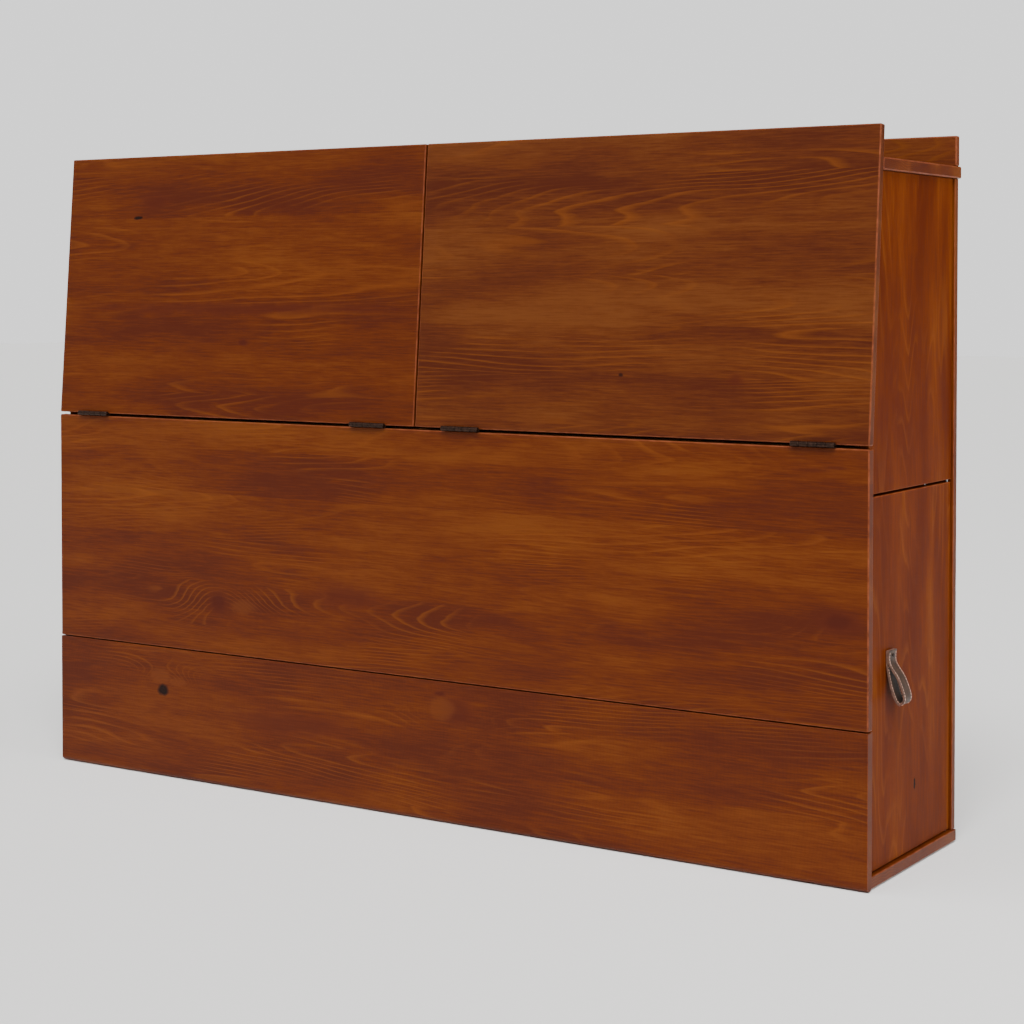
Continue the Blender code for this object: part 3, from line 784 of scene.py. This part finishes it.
# ---- hardware ----
@dataclass(frozen=True)
class ScrewHead:
    """A countersunk or pan head with a cross recess, modelled once and copied."""

    radius: float
    height: float
    finish: str
    sides: int = 28
    spin: float = 0.7             # how much further each head in a row is driven than the last, in radians

    def template(self) -> bpy.types.Object:
        """Turn the head, standing on the origin and facing up."""
        head = bar("screw_head", (0, 0, -self.height), (0, 0, self.height), self.radius, self.sides)
        slice_off(head, (0, 0, 0), (0, 0, -1))
        soften(head, self.height * 0.55, 4, 50)
        arm, wide, deep = self.radius * 0.55, self.radius * 0.085, self.height * 0.45
        for x, y in ((arm, wide), (wide, arm)):
            carve(head, (-x, -y, deep), (x, y, self.height * 2))
        dress(head, finish_of(self.finish))
        return head

    def drive(self, name: str, places: Sequence[Sequence[float]],
              facing: Sequence[float]) -> bpy.types.Object:
        """Set a row of heads.

        Args:
            name: the joined piece's name.
            places: where each head sits.
            facing: the way the heads face.

        Returns:
            The row as one piece.
        """
        head = self.template()
        turn = Vector(facing).to_track_quat("Z", "Y").to_matrix().to_4x4()
        row = [copy_of(head, f"{name}_{number}",
                       Matrix.Translation(place) @ turn @ Matrix.Rotation(self.spin * number, 4, "Z"))
               for number, place in enumerate(places)]
        bpy.data.objects.remove(head, do_unlink=True)
        return gather(row, name)


@dataclass
class ButtHinge:
    """A dark bronze butt hinge: five knuckles on a pin, and two leaves lying in the gap under the door."""

    name: str
    x: float
    door: str
    length: float = 0.090
    knuckles: int = 5
    barrel: float = 0.0050
    gap: float = 0.0003
    plates: tuple[tuple[float, float, float], ...] = ((0.8128, 0.8144, 0.0450), (0.8152, 0.8168, 0.0165))

    def leaf(self, number: int) -> bpy.types.Object:
        """Make a leaf with its own knuckles.

        Args:
            number: 0 for the fixed leaf, 1 for the leaf on the door.

        Returns:
            The leaf.
        """
        low, high, back = self.plates[number]
        half = self.length / 2 - 2 * self.gap
        front = HINGE.y + self.barrel + 0.0008
        plate = block("plate", (self.x - half, front, low), (self.x + half, FRONT + back, high))
        round_edges(plate, 0.003, 6, lambda a, b: True)
        soften(plate, 0.0003, 2)
        parts = [plate]
        pitch = self.length / self.knuckles
        for knuckle in range(number, self.knuckles, 2):
            start = self.x - self.length / 2 + knuckle * pitch + self.gap
            end = start + pitch - 2 * self.gap
            parts.append(bar("knuckle", (start, HINGE.y, HINGE.z), (end, HINGE.y, HINGE.z), self.barrel,
                             40, 0.0009, 3))
            parts.append(block("neck", (start + 0.0005, HINGE.y + 0.001, low + 0.0001),
                               (end - 0.0005, front + 0.002, high - 0.0001)))
        leaf = gather(parts, f"hinge_{('fixed', 'moving')[number]}_leaf_{self.name}")
        dress(leaf, finish_of("bronze"))
        return leaf

    def pin(self) -> bpy.types.Object:
        """The pin's two domed tips, set in the end knuckles."""
        tips = []
        for end in (-1, 1):
            face = self.x + end * (self.length / 2 - self.gap)
            tips.append(bar("tip", (face - end * 0.004, HINGE.y, HINGE.z),
                            (face + end * 0.0002, HINGE.y, HINGE.z), 0.0024, 24, 0.0004))
        both = gather(tips, f"hinge_pin_{self.name}")
        dress(both, finish_of("bronze"))
        return both

    def build(self) -> None:
        """Make the hinge with its screws."""
        stand_for(self.leaf(0), "root", f"hinge_fixed_{self.name}")
        stand_for(self.leaf(1), self.door, f"hinge_moving_{self.name}")
        stand_for(self.pin(), "root")
        top = self.plates[0][1]
        holes = [(self.x + dx, FRONT + dy, top) for dx, dy in ((-0.032, 0.024), (0, 0.033), (0.032, 0.024))]
        screws = ScrewHead(0.0032, 0.0003, "bronze").drive(f"hinge_screws_{self.name}", holes, (0, 0, 1))
        stand_for(screws, "root")


@dataclass
class StrapLoop:
    """A leather pull: one band folded to a loop, its two ends under one screw, stitched along both edges."""

    name: str
    width: float = 0.036
    thickness: float = 0.0035
    top: float = 0.430
    air: float = 0.0003
    stitch: float = 0.0056        # pitch of the stitches
    inset: float = 0.0038         # from the edge to the stitches
    smoothness: int = 6           # points between two knots of its line
    margin: float = 0.003         # from each end of the band to the first stitch
    slant: float = 0.16           # how far each stitch leans, in radians

    @property
    def side(self) -> int:
        """-1 at the left end of the bed and 1 at the right."""
        return SIDES[self.name]

    @property
    def door_face(self) -> float:
        """How far the outer face of the side door is from the middle of the bed."""
        return abs(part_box(f"side_door_{self.name}")[1 if self.side > 0 else 0].x)

    def line(self) -> list[Vector]:
        """The band's middle line from its inner end, down, round and up to its outer end."""
        half = self.thickness / 2 + self.air
        beside = half + self.thickness + self.air
        turns = ((half, 0), (half, -0.024), (half + 0.003, -0.046), (half + 0.009, -0.071),
                 (half + 0.0165, -0.090), (half + 0.0245, -0.0985), (half + 0.0325, -0.0935),
                 (half + 0.0330, -0.0800), (half + 0.0215, -0.0510), (beside, -0.024), (beside, 0))
        middle = sum(corner.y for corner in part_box(f"strap_loop_{self.name}")) / 2
        knots = [Vector((self.side * (self.door_face + out), middle, self.top + drop)) for out, drop in turns]
        points: list[Vector] = []
        for i, (a, b) in enumerate(zip(knots, knots[1:])):
            before = knots[i - 1] if i else a
            after = knots[i + 2] if i + 2 < len(knots) else b
            for k in range(self.smoothness):
                t = k / self.smoothness
                points.append(0.5 * ((2 * a) + (b - before) * t + (2 * before - 5 * a + 4 * b - after) * t * t
                                     + (3 * a - before - 3 * b + after) * t ** 3))
        return points + [knots[-1]]

    def band(self) -> bpy.types.Object:
        """Draw the band out along its line, with paler cut edges."""
        line = self.line()
        band = ribbon(f"strap_band_{self.name}", line, Vector((0, 1, 0)), self.width)
        dress(band, finish_of("leather"))
        band.data.materials.append(finish_of("leather_edge"))
        pick_up(band)
        wall = band.modifiers.new("wall", "SOLIDIFY")
        wall.thickness, wall.offset, wall.material_offset_rim = self.thickness, 0.0, 1
        bpy.ops.object.modifier_apply(modifier=wall.name)
        edge = band.modifiers.new("edge", "BEVEL")
        edge.width, edge.segments, edge.limit_method = 0.0008, 3, "ANGLE"
        edge.angle_limit = radians(50)
        bpy.ops.object.modifier_apply(modifier=edge.name)
        bpy.ops.object.shade_smooth_by_angle(angle=radians(40))
        return band

    def stitches(self) -> bpy.types.Object:
        """Saddle stitches along both edges, on both faces of the band."""
        one = bar("stitch", (-0.0019, 0, 0), (0.0019, 0, 0), 0.0007, 8)
        soften(one, 0.0003, 2, 50)
        row = []
        line = self.line()
        across = Vector((0, 1, 0))
        lengths = [0.0]
        for a, b in zip(line, line[1:]):
            lengths.append(lengths[-1] + (b - a).length)
        count = int((lengths[-1] - 2 * self.margin) / self.stitch)
        for number in range(count + 1):
            reach = self.margin + number * self.stitch
            k = max(i for i, length in enumerate(lengths[:-1]) if length <= reach)
            way = (line[k + 1] - line[k]).normalized()
            point = line[k] + way * (reach - lengths[k])
            out = way.cross(across).normalized()
            turn = Matrix((way, across, out)).transposed().to_4x4()
            for edge, face in ((-1, -1), (-1, 1), (1, -1), (1, 1)):
                place = point + across * edge * (self.width / 2 - self.inset) \
                    + out * face * (self.thickness / 2 + 0.00005)
                if not self.hidden(place):
                    slant = Matrix.Rotation(self.slant * edge * face, 4, "Z")
                    row.append(copy_of(one, f"stitch_{len(row)}", Matrix.Translation(place) @ turn @ slant))
        bpy.data.objects.remove(one, do_unlink=True)
        thread = gather(row, f"strap_stitches_{self.name}")
        dress(thread, finish_of("thread"))
        return thread

    def hidden(self, place: Vector) -> bool:
        """Tell whether a stitch would lie between the two ends of the band or against the door."""
        out = abs(place.x) - self.door_face
        return out < 0.0012 or (place.z > self.top - 0.030 and 0.0030 < out < 0.0052)

    def screw(self) -> bpy.types.Object:
        """The pan-head screw through both ends of the band."""
        low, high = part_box(f"strap_screw_{self.name}")
        face = high.x if self.side > 0 else low.x
        middle = (low + high) / 2
        seat = (face - self.side * 0.0014, middle.y, middle.z)
        head = ScrewHead(0.0036, 0.0014, "bronze")
        found = head.drive(f"strap_screw_head_{self.name}", [seat], (self.side, 0, 0))
        shank = bar("shank", (seat[0] + self.side * 0.0002, seat[1], seat[2]),
                    (seat[0] - self.side * 0.019, seat[1], seat[2]), 0.0015, 16, 0.0004)
        dress(shank, finish_of("bronze"))
        return gather([found, shank], found.name)

    def build(self) -> None:
        """Make the loop, its stitches and its screw."""
        body = f"flank_{self.name}"
        stand_for(self.band(), body, f"strap_loop_{self.name}")
        stand_for(self.stitches(), body)
        stand_for(self.screw(), body, f"strap_screw_{self.name}")


def ribbon(name: str, line: Sequence[Vector], across: Vector, width: float) -> bpy.types.Object:
    """Draw a flat band out along a line.

    Args:
        name: the piece's name.
        line: the points that its middle follows.
        across: the way of its width.
        width: its width.

    Returns:
        The band as a sheet of faces, without thickness.
    """
    put_down()
    bpy.ops.mesh.primitive_plane_add(size=1)
    piece = bpy.context.object
    step = line[1] - line[0]
    for vertex in piece.data.vertices:
        end = line[0] if vertex.co.x < 0 else line[1]
        vertex.co = end + across * width * vertex.co.y
    pick_up(piece)
    mesh = piece.data
    for item in (*mesh.polygons, *mesh.edges, *mesh.vertices):
        item.select = False
    for vertex in mesh.vertices:
        vertex.select = (vertex.co - line[1]).dot(step.normalized()) > -step.length / 2
    bpy.ops.object.mode_set(mode="EDIT")
    bpy.ops.mesh.select_mode(type="VERT")
    for a, b in zip(line[1:], line[2:]):
        bpy.ops.mesh.extrude_region_move(TRANSFORM_OT_translate={"value": b - a})
    bpy.ops.object.mode_set(mode="OBJECT")
    return settle(piece, name)


@dataclass
class GasDamper:
    """A gas damper at one end of the bed: black tube, hard chromed rod and an eye at each end."""

    name: str
    tube: float = 0.0058
    rod: float = 0.0031
    reach: float = 0.240          # from the cylinder's pivot to the mouth of the tube
    eye_x: float = 0.9575         # of the middle of both eyes

    def build(self) -> None:
        """Make the tube and the rod between the pivots on the cabinet and on the bed."""
        side = SIDES[self.name]
        start = joint_at(f"damper_swing_{self.name}")
        low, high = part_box(f"damper_stud_{self.name}")
        stud = (low + high) / 2
        start.x = stud.x = side * self.eye_x
        way, across = (stud - start).normalized(), Vector((side, 0, 0))
        tube = gather([
            bar("barrel", start + way * 0.012, start + way * self.reach, self.tube, 40, 0.0012, 4),
            bar("neck", start + way * 0.004, start + way * 0.014, 0.0035, 24),
            bar("eye", start - across * 0.0035, start + across * 0.0055, 0.0072, 40, 0.0008, 3),
        ], f"damper_tube_{self.name}")
        dress(tube, finish_of("tube"))
        stand_for(tube, f"cylinder_{self.name}", f"damper_cylinder_{self.name}")
        rod = bar("rod", start + way * 0.100, stud - way * 0.004, self.rod, 32)
        dress(rod, finish_of("chrome_rod"))
        eye = bar("rod_eye", stud - across * 0.0025, stud + across * 0.0045, 0.0065, 40, 0.0008, 3)
        dress(eye, finish_of("zinc"))
        rod = gather([rod, eye], f"damper_rod_and_eye_{self.name}")
        stand_for(rod, f"rod_{self.name}", f"damper_rod_{self.name}")


# ---- the bed inside ----
def arc(across: float, up: float, radius: float, start: float, steps: int) -> list[tuple[float, float]]:
    """Give the points of a quarter circle round a centre, from a start angle."""
    angles = [start + pi / 2 * step / steps for step in range(steps + 1)]
    return [(across + radius * cos(angle), up + radius * sin(angle)) for angle in angles]


@dataclass
class Mattress:
    """A foam mattress in striped cotton ticking, piped round both faces and banded to the slats."""

    swell: float = 0.005          # how far the filling may push the cover out
    voxel: float = 0.014
    corner: float = 0.030         # radius of its corners
    piping: float = 0.0034
    band_x: float = 0.450
    band_width: float = 0.040

    def corners(self) -> tuple[Vector, Vector]:
        """Lowest and highest corner of the mattress."""
        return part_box("mattress")

    def core(self) -> bpy.types.Object:
        """The filled cover, its faces slightly crowned and drawn in under the bands."""
        low, high = self.corners()
        inset = Vector((self.swell, self.swell, self.swell))
        piece = block("mattress_cover", low + inset, high - inset)
        soften(piece, self.corner, 6)
        self.fill(piece)
        self.draw_in(piece)
        pick_up(piece)
        bpy.ops.object.shade_smooth()
        dress(piece, finish_of("ticking"))
        return piece

    def fill(self, piece: bpy.types.Object) -> None:
        """Blow the cover up like cloth round its filling, with its swelling capped."""
        pick_up(piece)
        piece.data.remesh_voxel_size = self.voxel
        bpy.ops.object.voxel_remesh()
        rest = [v.co.copy() for v in piece.data.vertices]
        cloth = piece.modifiers.new("filling", "CLOTH")
        cloth.settings.use_pressure = True
        cloth.settings.uniform_pressure_force = 4
        cloth.settings.effector_weights.gravity = 0
        cloth.settings.tension_stiffness = 40
        for number in range(1, 21):
            bpy.context.scene.frame_set(number)
        pick_up(piece)
        bpy.ops.object.modifier_apply(modifier=cloth.name)
        bpy.context.scene.frame_set(1)
        for vertex, start in zip(piece.data.vertices, rest):
            move = vertex.co - start
            most = self.swell * 0.9
            if move.length > most:
                vertex.co = start + move.normalized() * most
        smooth = piece.modifiers.new("fine", "SUBSURF")
        smooth.levels = smooth.render_levels = 1
        bpy.ops.object.modifier_apply(modifier=smooth.name)

    def draw_in(self, piece: bpy.types.Object) -> None:
        """Press the cover in under the two bands and into a row of shallow tufting channels."""
        low, high = self.corners()
        middle = (low + high) / 2
        for vertex in piece.data.vertices:
            place = vertex.co
            depth = 0.0
            for side in SIDES.values():
                reach = abs(place.x - side * self.band_x) / (self.band_width * 0.62)
                depth += 0.0022 * max(0.0, 1 - reach * reach) if reach < 1 else 0.0
            for channel in (0.145, 0.365, 0.595):
                reach = (place.z - low.z - channel) / 0.010
                depth += 0.0030 / (1 + reach * reach) if abs(place.y - middle.y) > 0.045 else 0.0
            pull = Vector((0, middle.y - place.y, (middle.z - place.z) * 0.12))
            if pull.length:
                vertex.co += pull.normalized() * depth

    def cord(self, name: str, depth: float) -> bpy.types.Object:
        """Piping sewn round one face of the mattress.

        Args:
            name: the piece's name.
            depth: Y of the seam.

        Returns:
            The piping as a closed tube.
        """
        low, high = self.corners()
        edge = self.corner + 0.0052
        x, bottom, top = high.x - edge, low.z + edge, high.z - edge
        corners = ((x, bottom, -pi / 2), (x, top, 0), (-x, top, pi / 2), (-x, bottom, pi))
        points = [point for cx, cz, start in corners for point in arc(cx, cz, self.corner, start, 6)]
        put_down()
        bpy.ops.curve.primitive_bezier_circle_add(radius=1)
        loop = bpy.context.object
        loop.data.splines.clear()
        spline = loop.data.splines.new("POLY")
        spline.points.add(len(points) - 1)
        for point, (px, pz) in zip(spline.points, points):
            point.co = (px, depth, pz, 1)
        spline.use_cyclic_u = True
        loop.data.dimensions = "3D"
        loop.data.bevel_depth = self.piping / 2
        loop.data.bevel_resolution = 3
        pick_up(loop)
        bpy.ops.object.convert(target="MESH")
        loop = settle(bpy.context.object, name)
        bpy.ops.object.shade_smooth()
        dress(loop, finish_of("piping"))
        return loop

    def band(self, side: int, name: str) -> None:
        """A webbing band round the mattress with a slide buckle on its back face."""
        low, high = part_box(f"mattress_strap_{name}")
        radius, inner, x = 0.036, 0.0012, side * self.band_x
        bottom, top, back = low.z + inner, high.z - inner, high.y - inner - radius
        bends = arc(back, bottom + radius, radius, -pi / 2, 8) + arc(back, top - radius, radius, 0, 8)
        line = [Vector((x, y, z)) for y, z in ((low.y, bottom), *bends, (low.y, top))]
        band = ribbon(f"mattress_band_{name}", line, Vector((1, 0, 0)), self.band_width)
        pick_up(band)
        wall = band.modifiers.new("wall", "SOLIDIFY")
        wall.thickness, wall.offset = 0.0018, 0.0
        bpy.ops.object.modifier_apply(modifier=wall.name)
        dress(band, finish_of("webbing"))
        stand_for(band, "bed", f"mattress_strap_{name}")
        self.buckle(side, name, high.y)

    def buckle(self, side: int, name: str, face: float) -> None:
        """A moulded slide buckle: a frame with two bars."""
        middle = Vector((side * self.band_x, face + 0.0022, 0.400))
        half, tall, thick = self.band_width / 2 + 0.005, 0.020, 0.0018
        corner = Vector((half, thick, tall))
        piece = block(f"mattress_buckle_{name}", middle - corner, middle + corner)
        for low, high in ((-0.016, -0.004), (0.004, 0.016)):
            carve(piece, middle + Vector((-half + 0.004, -CLEAR, low)),
                  middle + Vector((half - 0.004, CLEAR, high)))
        soften(piece, 0.0012, 3, 50)
        dress(piece, finish_of("tube"))
        stand_for(piece, "bed")

    def build(self) -> None:
        """Make the mattress, its piping and its bands."""
        core = self.core()
        stand_for(core, "bed", "mattress")
        low, high = self.corners()
        for name, depth in (("front", low.y + 0.024), ("back", high.y - 0.024)):
            stand_for(self.cord(f"mattress_piping_{name}", depth), "bed")
        for name, side in SIDES.items():
            self.band(side, name)


@dataclass
class BedFrame:
    """Softwood frame with birch slats on two cloth tapes."""

    slats: int = 14
    slat_width: float = 0.060
    tape_width: float = 0.030
    hem: float = 0.005            # from the end of each tape to the edge of the last slat

    def build(self) -> None:
        """Make the rails and the slats."""
        for name, finish in (("rail_lower", "rail"), ("rail_upper", "rail"),
                             ("end_rail_left", "rail_upright"), ("end_rail_right", "rail_upright")):
            node = f"bed_{name}"
            stand_for(block(f"{node}_wood", *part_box(node), finish, 0.0015), "bed", node)
        low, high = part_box("bed_slats")
        pitch = (high.x - low.x - self.slat_width) / (self.slats - 1)
        first = block("slat_0", low, (low.x + self.slat_width, high.y, high.z), "slat", 0.003, 4)
        row = [first] + [copy_of(first, f"slat_{i}", Matrix.Translation((i * pitch, 0, 0)))
                         for i in range(1, self.slats)]
        stand_for(gather(row, "birch_slats"), "bed", "bed_slats")
        for name, z in (("lower", 0.200), ("upper", 0.610)):
            tape = block(f"slat_tape_{name}", (low.x + self.hem, high.y - 0.0001, z),
                         (high.x - self.hem, high.y + 0.0003, z + self.tape_width), "webbing", 0.0001, 1)
            stand_for(tape, "bed")


# ---- the cabinet ----
@dataclass
class Carcass:
    """The inside of the cabinet: posts, shelf, divider, thin back panels, base, felt and steel plates."""

    plain: tuple[tuple[str, str, float], ...] = (
        ("mid_shelf", "inside_pine", 0.001), ("centre_divider", "inside_upright", 0.001),
        ("front_post_left", "inside_upright", 0.001), ("front_post_right", "inside_upright", 0.001),
        ("back_panel_lower", "inside_pine", 0.0005), ("back_panel_upper", "inside_pine", 0.0005),
        ("floor_pad_front", "felt", 0.0008), ("floor_pad_back", "felt", 0.0008))
    tab_x: float = 0.900          # of the pivot tabs, from the middle

    def build(self) -> None:
        """Make the plain boards, the notched base and the fixings."""
        for node, finish, arris in self.plain:
            stand_for(block(f"{node}_made", *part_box(node), finish, arris), "root", node)
        self.base()
        self.fixings()

    def base(self) -> None:
        """The base board with its two notches for the pivot tabs."""
        low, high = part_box("base_board")
        base = block("base_board_wood", low, high, arris=0.002, segments=4)
        for middle in (-self.tab_x, self.tab_x):
            carve(base, (middle - 0.0033, low.y - CLEAR, low.z - CLEAR),
                  (middle + 0.0033, FRONT + 0.0503, high.z + CLEAR))
        dress(base, pine("base", 13.0, Grain.DEEP).make())
        stand_for(base, "root", "base_board")

    def fixings(self) -> None:
        """Screw heads of the wall plates, damper brackets and pivot tabs."""
        for name in SIDES:
            low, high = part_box(f"wall_plate_{name}")
            middle = (low + high) / 2
            places = [(middle.x + dx, high.y, middle.z) for dx in (-0.020, 0.020)]
            self.screws(0.0034, 0.00018, f"wall_plate_screws_{name}", places, (0, 1, 0))
            low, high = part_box(f"damper_bracket_{name}")
            places = [((low.x + high.x) / 2, FRONT + 0.4212, z) for z in (low.z + 0.008, high.z - 0.008)]
            self.screws(0.0036, 0.0012, f"bracket_screws_{name}", places, (0, -1, 0))
            low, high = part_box(f"pivot_tab_{name}")
            places = [((low.x + high.x) / 2 + dx, FRONT + 0.042, high.z) for dx in (-0.0095, 0.0095)]
            self.screws(0.0032, 0.0008, f"tab_screws_{name}", places, (0, 0, 1))

    def screws(self, radius: float, height: float, name: str, places: Sequence[Sequence[float]],
               facing: Sequence[float]) -> None:
        """Drive a row of zinc screws that stay with the cabinet."""
        stand_for(ScrewHead(radius, height, "zinc").drive(name, places, facing), "root")


# ---- studio ----
@dataclass
class Studio:
    """A plain pale floor and backdrop, lamps, and the camera."""

    camera_at: tuple[float, float, float] = (2.5703, -3.5729, 1.1000)
    turn: float = 0.5784
    pitch: float = -0.0282
    lens: float = 74.71
    shift_up: float = -0.1581
    shift_right: float = 0.0020
    room: float = 0.12            # strength of the light from all round
    backdrop: float = 1.35        # strength of the backdrop as the camera sees it
    lamps: tuple[tuple[str, str, tuple[float, ...], tuple[float, ...], float, float], ...] = (
        ("key_lamp", "SUN", (1.5, -2.75, 4.7), (0, 0, 0.7), 0.6, 4.2),
        ("fill_lamp", "SUN", (-3.0, -3.6, 5.2), (0, 0, 0.7), 1.2, 1.3),
        ("side_box", "AREA", (5.2, -0.6, 2.6), (0.9, 0, 0.7), 2.2, 130))

    def build(self) -> None:
        """Set up the floor, lights, surroundings and camera."""
        self.floor()
        self.lights()
        put_down()
        x, depth, z = self.camera_at
        bpy.ops.object.camera_add(location=(x, FRONT + depth, z),
                                  rotation=(pi / 2 + self.pitch, 0, self.turn))
        camera = bpy.context.object
        camera.data.sensor_width = 36.0
        camera.data.lens = self.lens
        camera.data.shift_x, camera.data.shift_y = self.shift_right, self.shift_up
        bpy.context.scene.camera = camera

    def floor(self) -> None:
        """A wide pale floor."""
        put_down()
        bpy.ops.mesh.primitive_plane_add(size=60, location=(0, 0, -0.0005))
        floor = bpy.context.object
        floor.name = "studio_floor"
        paper = Sheet("studio_paper")
        paper.feed(paper.shader, {"Base Color": linear("#f6f5f3"), "Roughness": 0.95,
                                  "Specular IOR Level": 0.1})
        dress(floor, paper.material)

    def lights(self) -> None:
        """Two sun lamps in front, a soft box at the right, and a dim room with a bright backdrop."""
        world = bpy.data.worlds.new("studio_room")
        bpy.context.scene.world = world
        world.use_nodes = True
        nodes, links = world.node_tree.nodes, world.node_tree.links
        seen, mix = nodes.new("ShaderNodeLightPath"), nodes.new("ShaderNodeMixShader")
        links.new(seen.outputs["Is Camera Ray"], mix.inputs[0])
        backgrounds = (nodes["Background"], nodes.new("ShaderNodeBackground"))
        for socket, node, strength in zip((1, 2), backgrounds, (self.room, self.backdrop)):
            node.inputs[0].default_value, node.inputs[1].default_value = linear("#ffffff"), strength
            links.new(node.outputs[0], mix.inputs[socket])
        links.new(mix.outputs[0], nodes["World Output"].inputs[0])
        for name, kind, place, aim, size, power in self.lamps:
            put_down()
            way = Vector(aim) - Vector(place)
            bpy.ops.object.light_add(type=kind, location=place,
                                     rotation=way.to_track_quat("-Z", "Y").to_euler())
            light = bpy.context.object
            light.name = name
            light.data.energy = power
            setattr(light.data, "angle" if kind == "SUN" else "size", size)


# ---- parts kept from the frame ----
KEPT_FINISHES: dict[str, str] = {
    "wall_plate_": "zinc", "pivot_tab_": "zinc", "pivot_pin_": "zinc", "damper_bracket_": "zinc",
    "damper_stud_": "zinc", "side_door_pin_": "zinc",
}


def dress_kept_parts() -> None:
    """Give each steel part that stays as it is in the frame its zinc plate."""
    for name, node in frame["nodes"].items():
        for start, finish in KEPT_FINISHES.items():
            if name.startswith(start):
                dress(node, finish_of(finish))


def main() -> None:
    """Build the bed's looks, sub-assembly by sub-assembly."""
    logging.basicConfig(level=logging.INFO, format="%(message)s")
    Studio().build()
    dress_kept_parts()
    build_boards()
    Carcass().build()
    for name, x in zip(HINGE_NAMES, HINGE_X):
        ButtHinge(name, x, f"door_{name.split('_')[0]}").build()
    for name in SIDES:
        StrapLoop(name).build()
        GasDamper(name).build()
    BedFrame().build()
    Mattress().build()


if __name__ == "__main__":
    main()
